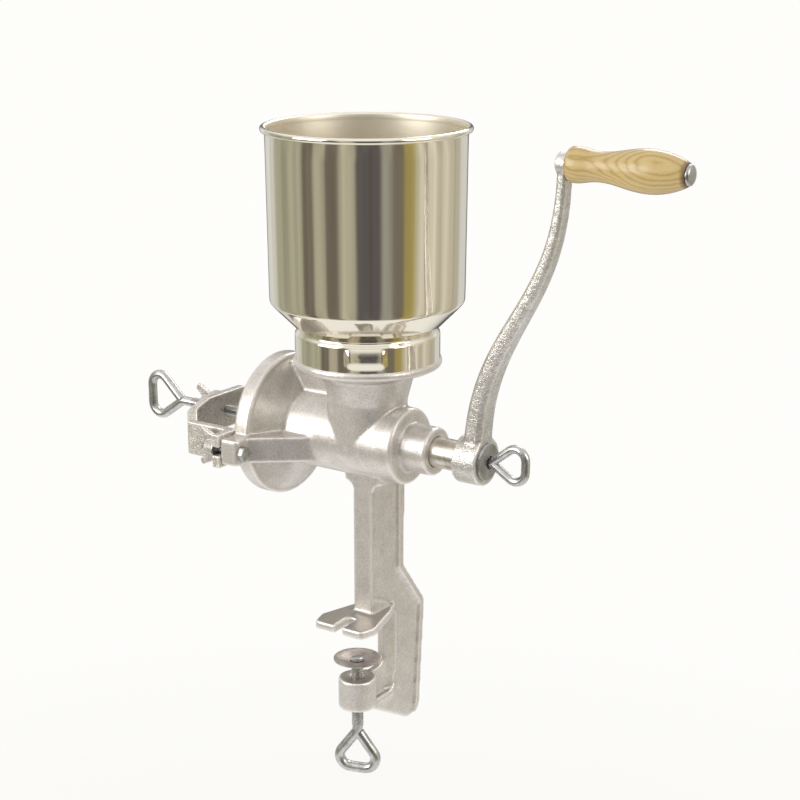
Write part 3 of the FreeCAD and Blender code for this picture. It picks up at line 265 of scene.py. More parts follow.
def picked(piece):
    """Makes the piece the only one that is selected and active."""
    bpy.ops.object.select_all(action="DESELECT")
    piece.select_set(True)
    bpy.context.view_layer.objects.active = piece


def applied(piece, kind, **settings):
    """Adds a modifier, sets it and applies it."""
    picked(piece)
    made = piece.modifiers.new(kind.lower(), kind)
    for name, value in settings.items():
        setattr(made, name, value)
    bpy.ops.object.modifier_apply(modifier=made.name)


def copy_of(part_name, new_name):
    """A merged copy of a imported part, for a piece that replaces it."""
    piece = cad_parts[part_name].copy()
    piece.data = piece.data.copy()
    piece.name = new_name
    piece.data.name = new_name
    bpy.context.collection.objects.link(piece)
    piece.data.materials.clear()
    picked(piece)
    bpy.ops.object.mode_set(mode="EDIT")
    bpy.ops.mesh.select_all(action="SELECT")
    bpy.ops.mesh.remove_doubles(threshold=SAME_CORNER)
    bpy.ops.object.mode_set(mode="OBJECT")
    return piece


def cast_copy(part_name, new_name, facet, passes):
    """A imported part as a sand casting: its skin is rebuilt of facets of one size, in metres, and its corners
    are blended in some passes."""
    piece = copy_of(part_name, new_name)
    applied(piece, "REMESH", mode="VOXEL", voxel_size=facet, adaptivity=0.0)
    applied(piece, "SMOOTH", factor=0.5, iterations=passes)
    picked(piece)
    bpy.ops.object.shade_smooth()
    return piece


def cast_skin_group():
    """Sand-cast metal: fine grain, shallow pits and slow waves, with bright edges that are partly wear and
    partly a painted highlight, and painted shade in the hollows.
    """
    group = bpy.data.node_groups.new("cast_skin", "ShaderNodeTree")
    sockets = group.interface
    for name, value in (("Grain Size", 0.0012), ("Wave Size", 0.011), ("Pits", 0.5), ("Edge Wear And Highlight", 0.5)):
        made = sockets.new_socket(name=name, in_out="INPUT", socket_type="NodeSocketFloat")
        made.default_value = value
    for name in ("Tone", "Edges", "Painted Hollow Shade", "Height"):
        sockets.new_socket(name=name, in_out="OUTPUT", socket_type="NodeSocketFloat")
    start = node(group, "NodeGroupInput", -1200, 0)
    end = node(group, "NodeGroupOutput", 900, 0)
    spot = node(group, "ShaderNodeTexCoord", -1200, 300)
    scales = []
    for row, name in enumerate(("Grain Size", "Wave Size")):
        scale = node(group, "ShaderNodeMath", -1000, -200 * row, operation="DIVIDE")
        scale.inputs[0].default_value = 1
        joined(group, start, name, scale, 1)
        scales.append(scale)
    fine = node(group, "ShaderNodeTexNoise", -800, 300, Detail=3.0, Roughness=0.6)
    slow = node(group, "ShaderNodeTexNoise", -800, 0, Detail=2.0, Roughness=0.5)
    pits = node(group, "ShaderNodeTexVoronoi", -800, -300, feature="SMOOTH_F1", Smoothness=0.35)
    for made, scale in ((fine, scales[0]), (slow, scales[1]), (pits, scales[0])):
        joined(group, spot, "Object", made, "Vector")
        joined(group, scale, "Value", made, "Scale")
    pit_depth = ranged(group, -600, -300, pits, "Distance", 0.05, 0.45)
    pit_share = node(group, "ShaderNodeMath", -400, -300, operation="MULTIPLY")
    joined(group, pit_depth, "Result", pit_share, 0)
    joined(group, start, "Pits", pit_share, 1)
    bumps = node(group, "ShaderNodeMath", -400, 200, operation="ADD")
    joined(group, fine, "Fac", bumps, 0)
    joined(group, pit_share, "Value", bumps, 1)
    slow_share = node(group, "ShaderNodeMath", -400, 0, operation="MULTIPLY")
    slow_share.inputs[1].default_value = 1.6
    joined(group, slow, "Fac", slow_share, 0)
    total = node(group, "ShaderNodeMath", -200, 100, operation="ADD")
    joined(group, bumps, "Value", total, 0)
    joined(group, slow_share, "Value", total, 1)
    joined(group, total, "Value", end, "Height")
    tone = node(group, "ShaderNodeMix", -200, 350)
    tone.inputs["Factor"].default_value = 0.32
    joined(group, fine, "Fac", tone, VALUE_A)
    joined(group, slow, "Fac", tone, VALUE_B)
    joined(group, tone, VALUE_OUT, end, "Tone")
    shape = node(group, "ShaderNodeNewGeometry", -400, -500)
    # Sharp edges, found by pointiness, are brightened: partly wear, partly a painted highlight.
    worn_highlit = ranged(group, -200, -500, shape, "Pointiness", 0.503, 0.56)
    wear_and_highlight = node(group, "ShaderNodeMath", 0, -500, operation="MULTIPLY")
    joined(group, worn_highlit, "Result", wear_and_highlight, 0)
    joined(group, start, "Edge Wear And Highlight", wear_and_highlight, 1)
    joined(group, wear_and_highlight, "Value", end, "Edges")
    # Painted shade: the concave corners, found by pointiness, are masked to be darkened.
    sunk = ranged(group, -200, -700, shape, "Pointiness", 0.49, 0.36)
    joined(group, sunk, "Result", end, "Painted Hollow Shade")
    return group


cast_skin = cast_skin_group()
WORN_AND_HIGHLIT_BRIGHTER = 16  # how much brighter a sharp edge is, out of 255: partly rubbed wear, partly a painted highlight
HOLLOW_PAINTED_SHADE = 0.56  # how dark the painted shade in the corners is, beside the darkest metal
SHELF_LEVEL = (0.02, 0.01)  # metres above the jaw's underside, where the painted shade on tops starts and is full
SHELF_TILT = (0.8, 0.97)  # how far a face looks up, from 0 to 1, where the painted shade starts and is full
SHELF_SHARE = 0.7  # the most that the painted shade covers
GLOSS_SPREAD = 0.07  # how far the roughness varies to each side


def cast_metal(name, dark, light, metallic, roughness, grain, wave, pits, depth, edge, top_shade=None):
    """A tinned casting: colour and gloss vary with the skin, its edges are rubbed bright, partly as wear and
    partly as a painted highlight, and its hollows get painted shade. With a colour given for them, the flat
    tops low on the casting get painted shade."""
    paint, tree = new_paint(name)
    skin = node(tree, "ShaderNodeGroup", -900, 0)
    skin.node_tree = cast_skin
    skin.inputs["Grain Size"].default_value = grain
    skin.inputs["Wave Size"].default_value = wave
    skin.inputs["Pits"].default_value = pits
    skin.inputs["Edge Wear And Highlight"].default_value = edge
    colours = ramp(tree, -600, 200, [(0.33, seen(dark)), (0.66, seen(light))])
    joined(tree, skin, "Tone", colours, "Fac")
    # Painted highlight, partly real wear: the sharp edges are brightened.
    worn_and_highlit = node(tree, "ShaderNodeMix", -300, 200, data_type="RGBA")
    joined(tree, skin, "Edges", worn_and_highlit, 0)
    joined(tree, colours, "Color", worn_and_highlit, COLOUR_A)
    worn_and_highlit.inputs[COLOUR_B].default_value = seen([min(255, v + WORN_AND_HIGHLIT_BRIGHTER) for v in light])
    # Painted shade: the hollows are darkened towards the darkest metal.
    with_painted_shade = node(tree, "ShaderNodeMix", -150, 200, data_type="RGBA")
    joined(tree, skin, "Painted Hollow Shade", with_painted_shade, 0)
    joined(tree, worn_and_highlit, COLOUR_OUT, with_painted_shade, COLOUR_A)
    with_painted_shade.inputs[COLOUR_B].default_value = seen([v * HOLLOW_PAINTED_SHADE for v in dark])
    if top_shade:
        spot = node(tree, "ShaderNodeTexCoord", -900, 700)
        place = node(tree, "ShaderNodeSeparateXYZ", -700, 700)
        joined(tree, spot, "Object", place, "Vector")
        low = ranged(tree, -500, 700, place, "Z", *SHELF_LEVEL)
        faced = node(tree, "ShaderNodeNewGeometry", -900, 500)
        upward = node(tree, "ShaderNodeSeparateXYZ", -700, 500)
        joined(tree, faced, "Normal", upward, "Vector")
        flat = ranged(tree, -500, 500, upward, "Z", *SHELF_TILT, to_high=SHELF_SHARE)
        # Painted shade: flat tops low on the casting are darkened.
        shelf = node(tree, "ShaderNodeMath", -300, 600, operation="MULTIPLY")
        joined(tree, low, "Result", shelf, 0)
        joined(tree, flat, "Result", shelf, 1)
        before_top_shade = with_painted_shade
        with_painted_shade = node(tree, "ShaderNodeMix", -50, 400, data_type="RGBA")
        joined(tree, shelf, "Value", with_painted_shade, 0)
        joined(tree, before_top_shade, COLOUR_OUT, with_painted_shade, COLOUR_A)
        with_painted_shade.inputs[COLOUR_B].default_value = seen(top_shade)
    gloss = ranged(tree, -600, -100, skin, "Tone", 0, 1, roughness + GLOSS_SPREAD, roughness - GLOSS_SPREAD)
    relief = node(tree, "ShaderNodeBump", -300, -300, Strength=1.0, Distance=depth)
    joined(tree, skin, "Height", relief, "Height")
    surface = node(tree, "ShaderNodeBsdfPrincipled", 0, 0, Metallic=metallic)
    joined(tree, with_painted_shade, COLOUR_OUT, surface, "Base Color")
    joined(tree, gloss, "Result", surface, "Roughness")
    joined(tree, relief, "Normal", surface, "Normal")
    out = node(tree, "ShaderNodeOutputMaterial", 300, 0)
    joined(tree, surface, "BSDF", out, "Surface")
    return paint


mill = cast_copy("mill_body", "mill_casting", facet=0.0013, passes=3)
mill.data.materials.append(cast_metal(
    "tinned_casting", (196, 190, 184), (234, 229, 223), metallic=0.62, roughness=0.33, grain=0.0012,
    wave=0.011, pits=0.4, depth=0.00013, edge=1, top_shade=(140, 132, 119)))
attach(mill, "mill_frame")
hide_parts("mill_body")

# Hopper: spun from sheet steel and polished like a mirror, with a rolled rim. Its neck stands on the mill's
# collar, and two shallow pockets are pressed outwards in the neck.
MM = 0.001
SAME_SPOT, SAME_SEAM = 0.0000005, 0.000002  # metres between points that are one


def spun(name, outline, axis, steps, centre=(0, 0, 0), loop=False):
    """Turns an outline of places along the axis and radii into a piece, as on a lathe."""
    along = Vector((1, 0, 0)) if axis == "X" else Vector((0, 0, 1))
    out = Vector((0, -1, 0)) if axis == "X" else Vector((1, 0, 0))
    middle = Vector(centre) * MM
    points = [middle + (along * place + out * radius) * MM for place, radius in outline]
    bpy.ops.object.select_all(action="DESELECT")
    bpy.ops.mesh.primitive_plane_add(size=MM)
    piece = bpy.context.object
    piece.name = name
    piece.data.name = name
    bpy.ops.object.mode_set(mode="EDIT")
    bpy.ops.mesh.merge(type="CENTER")
    bpy.ops.transform.translate(value=points[0])
    for start, end in zip(points, points[1:]):
        bpy.ops.mesh.extrude_vertices_move(TRANSFORM_OT_translate={"value": end - start})
    if loop:
        bpy.ops.mesh.extrude_vertices_move(TRANSFORM_OT_translate={"value": points[0] - points[-1]})
    bpy.ops.mesh.select_all(action="SELECT")
    bpy.ops.mesh.remove_doubles(threshold=SAME_SPOT)
    bpy.ops.mesh.select_all(action="SELECT")
    bpy.ops.mesh.spin(steps=steps, angle=math.tau, center=middle, axis=along)
    bpy.ops.mesh.select_all(action="SELECT")
    bpy.ops.mesh.remove_doubles(threshold=SAME_SEAM)
    bpy.ops.mesh.select_all(action="SELECT")
    bpy.ops.mesh.normals_make_consistent(inside=False)
    bpy.ops.object.mode_set(mode="OBJECT")
    return piece


def bend(middle, radius, start, end, steps):
    """Points of a round corner, from one angle to the other."""
    turns = [math.radians(start + (end - start) * n / steps) for n in range(steps + 1)]
    return [(middle[0] + radius * math.sin(t), middle[1] + radius * math.cos(t)) for t in turns]


AXLE_Y, AXLE_Z = 26, 134.5
HOPPER_AXIS = (-7.5, AXLE_Y, AXLE_Z)
POCKET_ROWS = (66, 67.3, 72.5, 77.7, 79)
POCKET_TURN, POCKET_HALF, POCKET_RISE = 34, 14, 1.3
hopper_outline = [(62, 52)] + [(row, 52) for row in POCKET_ROWS]
hopper_outline += [(79.8, 51.9), (80.8, 51.2), (82, 50.3), (82.7, 50), (83.4, 50.05), (84.2, 50.9)]
hopper_outline += [(100.6, 67.1), (101.8, 68.2), (102.8, 68.95), (103.9, 69.4), (105.5, 69.55), (112, 69.7)]
hopper_outline += [(160, 70.25), (210, 70.8), (221.5, 71), (222.8, 71.25)]
hopper_outline += bend((224.8, 72.1), 2.2, -115, 165, 16)
hopper_outline += [(222.4, 70.3), (221, 70.2), (210, 70), (160, 69.45), (112, 68.9), (105.5, 68.75)]
hopper_outline += [(104, 68.6), (102.9, 68.2), (101.4, 67), (99.8, 65.5), (84.6, 50.2), (83.5, 49.3)]
hopper_outline += [(82.7, 49.15), (81.9, 49.5), (80.4, 50.6), (79.5, 51.1)]
hopper_outline += [(row, 51.2) for row in reversed(POCKET_ROWS)] + [(62, 51.2)]
hopper = spun("hopper_shell", hopper_outline, "Z", steps=160, centre=HOPPER_AXIS, loop=True)
picked(hopper)
bpy.ops.object.mode_set(mode="EDIT")
for way in (1, -1):
    bpy.ops.mesh.select_all(action="DESELECT")
    bpy.ops.object.mode_set(mode="OBJECT")
    front = Vector((math.sin(math.radians(POCKET_TURN)), -math.cos(math.radians(POCKET_TURN)), 0)) * way
    for point in hopper.data.vertices:
        spot = point.co - Vector(HOPPER_AXIS) * MM
        row = spot.z / MM
        inside = POCKET_ROWS[0] + 0.5 < row < POCKET_ROWS[-1] - 0.5
        spread = math.degrees(Vector((spot.x, spot.y, 0)).angle(front))
        point.select = inside and spread < POCKET_HALF
    bpy.ops.object.mode_set(mode="EDIT")
    bpy.ops.transform.translate(value=front * POCKET_RISE * MM)
bpy.ops.object.mode_set(mode="OBJECT")
bpy.ops.object.shade_smooth_by_angle(angle=math.radians(50))


LINING_ROUGHNESS = 0.42


def polished_steel():
    """Mirror polished sheet: warm, with faint streaks of the polishing wheel, and a satin lining inside."""
    paint, tree = new_paint("mirror_steel")
    spot = node(tree, "ShaderNodeTexCoord", -1200, 0)
    spread = node(tree, "ShaderNodeMapping", -1000, 0, Scale=(1, 1, 0.06))
    joined(tree, spot, "Object", spread, "Vector")
    streaks = node(tree, "ShaderNodeTexNoise", -800, 100, Scale=420.0, Detail=4.0)
    joined(tree, spread, "Vector", streaks, "Vector")
    waves = node(tree, "ShaderNodeTexNoise", -800, -200, Scale=26.0, Detail=0.0)
    joined(tree, spread, "Vector", waves, "Vector")
    gloss = ranged(tree, -500, 100, streaks, "Fac", 0, 1, 0.03, 0.13)
    off_axis = node(tree, "ShaderNodeVectorMath", -1000, 500, operation="SUBTRACT")
    joined(tree, spot, "Object", off_axis, 0)
    off_axis.inputs[1].default_value = tuple(Vector(HOPPER_AXIS) * MM)
    level = node(tree, "ShaderNodeVectorMath", -800, 500, operation="MULTIPLY")
    joined(tree, off_axis, "Vector", level, 0)
    level.inputs[1].default_value = (1, 1, 0)
    faced = node(tree, "ShaderNodeNewGeometry", -800, 300)
    outward = node(tree, "ShaderNodeVectorMath", -600, 500, operation="DOT_PRODUCT")
    joined(tree, level, "Vector", outward, 0)
    joined(tree, faced, "True Normal", outward, 1)
    lining = node(tree, "ShaderNodeMath", -400, 500, operation="LESS_THAN")
    lining.inputs[1].default_value = -0.01
    joined(tree, outward, "Value", lining, 0)
    satin = node(tree, "ShaderNodeMix", -200, 200)
    satin.inputs[VALUE_B].default_value = LINING_ROUGHNESS
    joined(tree, lining, "Value", satin, "Factor")
    joined(tree, gloss, "Result", satin, VALUE_A)
    relief = node(tree, "ShaderNodeBump", -500, -200, Strength=0.3, Distance=0.0001)
    joined(tree, waves, "Fac", relief, "Height")
    surface = node(tree, "ShaderNodeBsdfPrincipled", 0, 0, Metallic=1.0)
    surface.inputs["Base Color"].default_value = STEEL_TINT + (1,)
    joined(tree, satin, VALUE_OUT, surface, "Roughness")
    joined(tree, relief, "Normal", surface, "Normal")
    out = node(tree, "ShaderNodeOutputMaterial", 300, 0)
    joined(tree, surface, "BSDF", out, "Surface")
    return paint


hopper.data.materials.append(polished_steel())
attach(hopper, "hopper")
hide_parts("hopper")

# Crank arm: cast in one piece with its hub and eye, and rougher than the mill.
crank = cast_copy("crank_arm", "crank_casting", facet=0.001, passes=2)
crank.data.materials.append(cast_metal(
    "crank_casting_skin", (178, 174, 169), (240, 237, 232), metallic=0.78, roughness=0.33, grain=0.0015,
    wave=0.007, pits=0.6, depth=0.00026, edge=0.8))
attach(crank, "rotor")
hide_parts("crank_arm")

# Wooden grip: turned from pale wood and varnished, free on its pin. It flares at the arm, has a waist, swells
# to its belly and runs down to a small tip; its wood is painted darker over both ends.
GRIP_Z = 347.5
GRIP_START = (154.25, AXLE_Y, GRIP_Z)
grip_outline = [(0, 3.1), (0, 10.6), (0.6, 11.3), (1.6, 11.85), (3.2, 12), (6, 11.95), (9, 11.6), (12, 11)]
grip_outline += [(15, 10.45), (18, 10.1), (22, 9.95), (26, 10.1), (30, 10.55), (34, 11.25), (38, 12.05)]
grip_outline += [(42, 12.85), (46, 13.55), (50, 14.05), (54, 14.35), (58, 14.4), (62, 14.15), (66, 13.6)]
grip_outline += [(70, 12.75), (74, 11.6), (77, 10.55), (79.5, 9.5), (81.4, 8.65), (82.4, 8.1)]
grip_outline += [(83, 7.5), (83, 3.1)]
grip = spun("turned_grip", grip_outline, "X", steps=64, centre=GRIP_START, loop=True)
picked(grip)
bpy.ops.object.shade_smooth_by_angle(angle=math.radians(45))


WOOD_CENTRE = (0.205, AXLE_Y * MM, GRIP_Z * MM)  # where the grain is laid out from, inside the belly
BOARD_FACE = (0.18, -0.86, 0.48)  # the way that the growth layers face
LAYERS_PER_METRE, LAYER_SWAY = 760, 0.005
DARK_END_WOOD = (104, 74, 44)


def varnished_wood():
    """Flat-sawn pale wood: growth layers that the belly cuts into ovals, with fine fibres along the grip."""
    paint, tree = new_paint("varnished_wood")
    spot = node(tree, "ShaderNodeTexCoord", -1800, 0)
    centred = node(tree, "ShaderNodeMapping", -1600, 0, vector_type="POINT")
    centred.inputs["Location"].default_value = [-v for v in WOOD_CENTRE]
    joined(tree, spot, "Object", centred, "Vector")
    towards = node(tree, "ShaderNodeVectorMath", -1400, 0, operation="DOT_PRODUCT")
    towards.inputs[1].default_value = BOARD_FACE
    joined(tree, centred, "Vector", towards, 0)
    drawn = node(tree, "ShaderNodeMapping", -1400, -300, Scale=(0.28, 1, 1))
    joined(tree, centred, "Vector", drawn, "Vector")
    sway = node(tree, "ShaderNodeTexNoise", -1200, -300, Scale=110.0, Detail=3.0, Roughness=0.5)
    joined(tree, drawn, "Vector", sway, "Vector")
    swayed = node(tree, "ShaderNodeMath", -1000, -300, operation="MULTIPLY_ADD")
    swayed.inputs[1].default_value = LAYER_SWAY
    joined(tree, sway, "Fac", swayed, 0)
    joined(tree, towards, "Value", swayed, 2)
    layer = node(tree, "ShaderNodeMath", -800, -200, operation="MULTIPLY")
    layer.inputs[1].default_value = LAYERS_PER_METRE
    joined(tree, swayed, "Value", layer, 0)
    share_of_layer = node(tree, "ShaderNodeMath", -600, -200, operation="PINGPONG")
    share_of_layer.inputs[1].default_value = 1.0
    joined(tree, layer, "Value", share_of_layer, 0)
    layers = ramp(tree, -400, -200, [
        (0, seen((218, 193, 133))), (0.5, seen((213, 186, 124))), (0.78, seen((203, 173, 108))),
        (1, seen((188, 155, 90)))], "EASE")
    joined(tree, share_of_layer, "Value", layers, "Fac")
    fibre_run = node(tree, "ShaderNodeMapping", -1200, 300, Scale=(0.05, 1, 1))
    joined(tree, centred, "Vector", fibre_run, "Vector")
    fibres = node(tree, "ShaderNodeTexNoise", -1000, 300, Scale=2600.0, Detail=3.0, Roughness=0.6)
    joined(tree, fibre_run, "Vector", fibres, "Vector")
    fibre_tone = ramp(tree, -800, 300, [(0.3, grey(0.90)), (0.62, grey(1))])
    joined(tree, fibres, "Fac", fibre_tone, "Fac")
    grained = node(tree, "ShaderNodeMix", -100, 100, data_type="RGBA", blend_type="MULTIPLY")
    grained.inputs[0].default_value = 1.0
    joined(tree, layers, "Color", grained, COLOUR_A)
    joined(tree, fibre_tone, "Color", grained, COLOUR_B)
    along = node(tree, "ShaderNodeSeparateXYZ", -1400, 600)
    joined(tree, spot, "Object", along, "Vector")
    # The ends are painted darker: a thin band at the arm end and a ring at the tip.
    end_tone = ranged(tree, -1200, 600, along, "X", (GRIP_START[0] - 1) * MM, (GRIP_START[0] + 84) * MM)
    dark_ends = ramp(tree, -1000, 600, [
        (0, grey(0)), (0.014, grey(0)), (0.026, grey(1)), (0.955, grey(1)), (0.98, grey(0.25)), (1, grey(0))])
    joined(tree, end_tone, "Result", dark_ends, "Fac")
    darkened = node(tree, "ShaderNodeMix", 100, 200, data_type="RGBA")
    joined(tree, dark_ends, "Color", darkened, 0)
    darkened.inputs[COLOUR_A].default_value = seen(DARK_END_WOOD)
    joined(tree, grained, COLOUR_OUT, darkened, COLOUR_B)
    relief = node(tree, "ShaderNodeBump", 100, -300, Strength=0.5, Distance=0.00008)
    joined(tree, fibres, "Fac", relief, "Height")
    gloss = ranged(tree, 100, -100, fibres, "Fac", 0, 1, 0.30, 0.44)
    surface = node(tree, "ShaderNodeBsdfPrincipled", 400, 0)
    surface.inputs["Coat Weight"].default_value = 0.45
    surface.inputs["Coat Roughness"].default_value = 0.16
    joined(tree, darkened, COLOUR_OUT, surface, "Base Color")
    joined(tree, gloss, "Result", surface, "Roughness")
    joined(tree, relief, "Normal", surface, "Normal")
    out = node(tree, "ShaderNodeOutputMaterial", 700, 0)
    joined(tree, surface, "BSDF", out, "Surface")
    return paint


grip.data.materials.append(varnished_wood())
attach(grip, "grip")
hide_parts("wooden_grip")

# Grip pin and washer: a plated steel pin with a domed head at the grip's tip, riveted over behind the crank's
# eye, and a thin washer between the wood and the arm.
PIN_BACK, GRIP_WASHER_FACE = 144.15, 153.25
pin_outline = [(0, 0), (0, 3), (0.5, 4.1), (1.2, 4.8), (1.6, 4.8), (1.6, 3), (93.3, 3), (93.3, 6.5)]
pin_outline += [(93.7, 6.8), (94.6, 6.8), (95.2, 6.6), (95.8, 5.8), (96.3, 4.4), (96.6, 2.4), (96.7, 0)]
thin_outline = [(0, 3.05), (0, 7.3), (0.15, 7.5), (0.65, 7.5), (0.8, 7.3), (0.8, 3.05)]


def metal_marks_group():
    """Worked steel: fine marks drawn along one direction over slow patches, and a mask of the hollows for
    painted shade.
    """
    group = bpy.data.node_groups.new("metal_marks", "ShaderNodeTree")
    sockets = group.interface
    made = sockets.new_socket(name="Stretch", in_out="INPUT", socket_type="NodeSocketVector")
    made.default_value = (1, 1, 1)
    made = sockets.new_socket(name="Mark Size", in_out="INPUT", socket_type="NodeSocketFloat")
    made.default_value = 0.001
    for name in ("Tone", "Crevice Shade", "Height"):
        sockets.new_socket(name=name, in_out="OUTPUT", socket_type="NodeSocketFloat")
    start = node(group, "NodeGroupInput", -1000, 0)
    end = node(group, "NodeGroupOutput", 600, 0)
    spot = node(group, "ShaderNodeTexCoord", -1000, 300)
    drawn = node(group, "ShaderNodeVectorMath", -800, 200, operation="MULTIPLY")
    joined(group, spot, "Object", drawn, 0)
    joined(group, start, "Stretch", drawn, 1)
    scale = node(group, "ShaderNodeMath", -800, -100, operation="DIVIDE")
    scale.inputs[0].default_value = 1
    joined(group, start, "Mark Size", scale, 1)
    marks = node(group, "ShaderNodeTexNoise", -500, 200, Detail=4.0, Roughness=0.65)
    joined(group, drawn, "Vector", marks, "Vector")
    joined(group, scale, "Value", marks, "Scale")
    patches = node(group, "ShaderNodeTexNoise", -500, -100, Scale=140.0, Detail=2.0)
    joined(group, spot, "Object", patches, "Vector")
    tone = node(group, "ShaderNodeMix", -200, 200)
    tone.inputs["Factor"].default_value = 0.5
    joined(group, marks, "Fac", tone, VALUE_A)
    joined(group, patches, "Fac", tone, VALUE_B)
    joined(group, tone, VALUE_OUT, end, "Tone")
    joined(group, marks, "Fac", end, "Height")
    shape = node(group, "ShaderNodeNewGeometry", -500, -400)
    # Painted shade: a mask of the hollows, found by pointiness.
    hollow_shade = ranged(group, -200, -400, shape, "Pointiness", 0.495, 0.42)
    joined(group, hollow_shade, "Result", end, "Crevice Shade")
    return group


metal_marks = metal_marks_group()
CREVICE_PAINTED_SHADE = 0.45  # how dark the painted shade in a thread's root is, beside the darkest metal


def worked_steel(name, dark, light, roughness, stretch=(1, 1, 1), mark=0.001, depth=0.00001):
    """Plated or bare steel with fine marks, and painted shade in its threads and corners."""
    paint, tree = new_paint(name)
    marks = node(tree, "ShaderNodeGroup", -900, 0)
    marks.node_tree = metal_marks
    marks.inputs["Stretch"].default_value = stretch
    marks.inputs["Mark Size"].default_value = mark
    colours = ramp(tree, -600, 200, [(0.35, seen(dark)), (0.62, seen(light))])
    joined(tree, marks, "Tone", colours, "Fac")
    # Painted shade: threads and corners are darkened.
    with_painted_shade = node(tree, "ShaderNodeMix", -300, 200, data_type="RGBA")
    joined(tree, marks, "Crevice Shade", with_painted_shade, 0)
    joined(tree, colours, "Color", with_painted_shade, COLOUR_A)
    with_painted_shade.inputs[COLOUR_B].default_value = seen([v * CREVICE_PAINTED_SHADE for v in dark])
    gloss = ranged(tree, -600, -100, marks, "Tone", 0, 1, roughness - 0.06, roughness + 0.08)
    relief = node(tree, "ShaderNodeBump", -300, -300, Strength=1.0, Distance=depth)
    joined(tree, marks, "Height", relief, "Height")
    surface = node(tree, "ShaderNodeBsdfPrincipled", 0, 0, Metallic=1.0)
    joined(tree, with_painted_shade, COLOUR_OUT, surface, "Base Color")
    joined(tree, gloss, "Result", surface, "Roughness")
    joined(tree, relief, "Normal", surface, "Normal")
    out = node(tree, "ShaderNodeOutputMaterial", 300, 0)
    joined(tree, surface, "BSDF", out, "Surface")
    return paint


grip_pin = spun("grip_rivet", pin_outline, "X", steps=48, centre=(PIN_BACK, AXLE_Y, GRIP_Z))
picked(grip_pin)
bpy.ops.object.shade_smooth_by_angle(angle=math.radians(35))
plated = worked_steel("plated_steel", (158, 158, 158), (206, 206, 205), roughness=0.28, mark=0.0007)
grip_pin.data.materials.append(plated)
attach(grip_pin, "rotor")
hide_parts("grip_pin")
grip_washer = spun(
    "grip_thin_washer", thin_outline, "X", steps=48, centre=(GRIP_WASHER_FACE, AXLE_Y, GRIP_Z), loop=True)
# The grip's washer is coloured dark brown.
grip_washer.data.materials.append(
    worked_steel("dark_grip_washer", (92, 84, 76), (128, 120, 110), roughness=0.45))
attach(grip_washer, "rotor")
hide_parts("grip_washer")

# Crank screw: bent from bright plated bar into an eye, screwed into the shaft's end. Its washer keeps the
# crank's hub on the square.
THUMB_NECK, CRANK_WASHER_FACE = 97.4, 93.5
BAR_PITCH = 1.25
RIDGE_RISE, RIDGE_TOP, RIDGE_FOOT = 0.36, 0.5, 0.86  # where a thread's ridge rises, tops and ends, per pitch
THREAD_SIDES, THREAD_SEAM = 18, 0.000005


def bent_bar(name, corners, radius, bend_radius, sides=20, steps=9):
    """A round bar, drawn out straight from corner to corner and turned about the middle of each bend."""
    spots = [Vector(corner) * MM for corner in corners]
    way = (spots[1] - spots[0]).normalized()
    bpy.ops.object.select_all(action="DESELECT")
    bpy.ops.mesh.primitive_circle_add(
        vertices=sides, radius=radius * MM, fill_type="NGON", location=spots[0],
        rotation=way.to_track_quat("Z", "Y").to_euler())
    bar = bpy.context.object
    bar.name = name
    bar.data.name = name
    bpy.ops.object.transform_apply(location=True, rotation=True, scale=True)
    bpy.ops.object.mode_set(mode="EDIT")
    bpy.ops.mesh.select_all(action="SELECT")
    here = spots[0]
    for corner, after in zip(spots[1:], spots[2:]):
        way = (corner - here).normalized()
        way_out = (after - corner).normalized()
        turn = way.angle(way_out)
        reach = bend_radius * MM * math.tan(turn / 2)
        bpy.ops.mesh.extrude_region_move(TRANSFORM_OT_translate={"value": corner - way * reach - here})
        axis = way.cross(way_out).normalized()
        middle = corner - way * reach + axis.cross(way) * bend_radius * MM
        bpy.ops.mesh.spin(steps=steps, angle=-turn, center=middle, axis=axis)
        here = corner + way_out * reach
    bpy.ops.mesh.extrude_region_move(TRANSFORM_OT_translate={"value": spots[-1] - here})
    bpy.ops.mesh.select_all(action="SELECT")
    bpy.ops.mesh.remove_doubles(threshold=SAME_CORNER)
    bpy.ops.mesh.normals_make_consistent(inside=False)
    bpy.ops.object.mode_set(mode="OBJECT")
    return bar


def screw_thread(name, foot, axis, turns, pitch, root, crest):
    """A thread: one ridge's section led round and along the rod by a screw, and closed at both ends."""
    out = Vector((0, 0, 1)) if axis == "X" else Vector((1, 0, 0))
    along = Vector((1, 0, 0)) if axis == "X" else Vector((0, 0, 1))
    section = [out * root, out * crest + along * pitch * RIDGE_RISE, out * crest + along * pitch * RIDGE_TOP,
               out * root + along * pitch * RIDGE_FOOT]
    bpy.ops.object.select_all(action="DESELECT")
    bpy.ops.mesh.primitive_plane_add(size=MM)
    ridge = bpy.context.object
    ridge.name = name
    ridge.data.name = name
    bpy.ops.object.mode_set(mode="EDIT")
    bpy.ops.mesh.merge(type="CENTER")
    bpy.ops.transform.translate(value=section[0] * MM)
    for start, end in zip(section, section[1:]):
        bpy.ops.mesh.extrude_vertices_move(TRANSFORM_OT_translate={"value": (end - start) * MM})
    bpy.ops.mesh.select_all(action="SELECT")
    bpy.ops.mesh.edge_face_add()
    bpy.ops.object.mode_set(mode="OBJECT")
    applied(ridge, "SCREW", axis=axis, angle=math.tau, screw_offset=pitch * MM, iterations=turns,
            steps=THREAD_SIDES, render_steps=THREAD_SIDES)
    bpy.ops.object.mode_set(mode="EDIT")
    bpy.ops.mesh.select_all(action="SELECT")
    bpy.ops.mesh.remove_doubles(threshold=THREAD_SEAM)
    bpy.ops.mesh.fill_holes(sides=4)
    bpy.ops.mesh.normals_make_consistent(inside=False)
    bpy.ops.transform.translate(value=Vector(foot) * MM)
    bpy.ops.object.mode_set(mode="OBJECT")
    return ridge


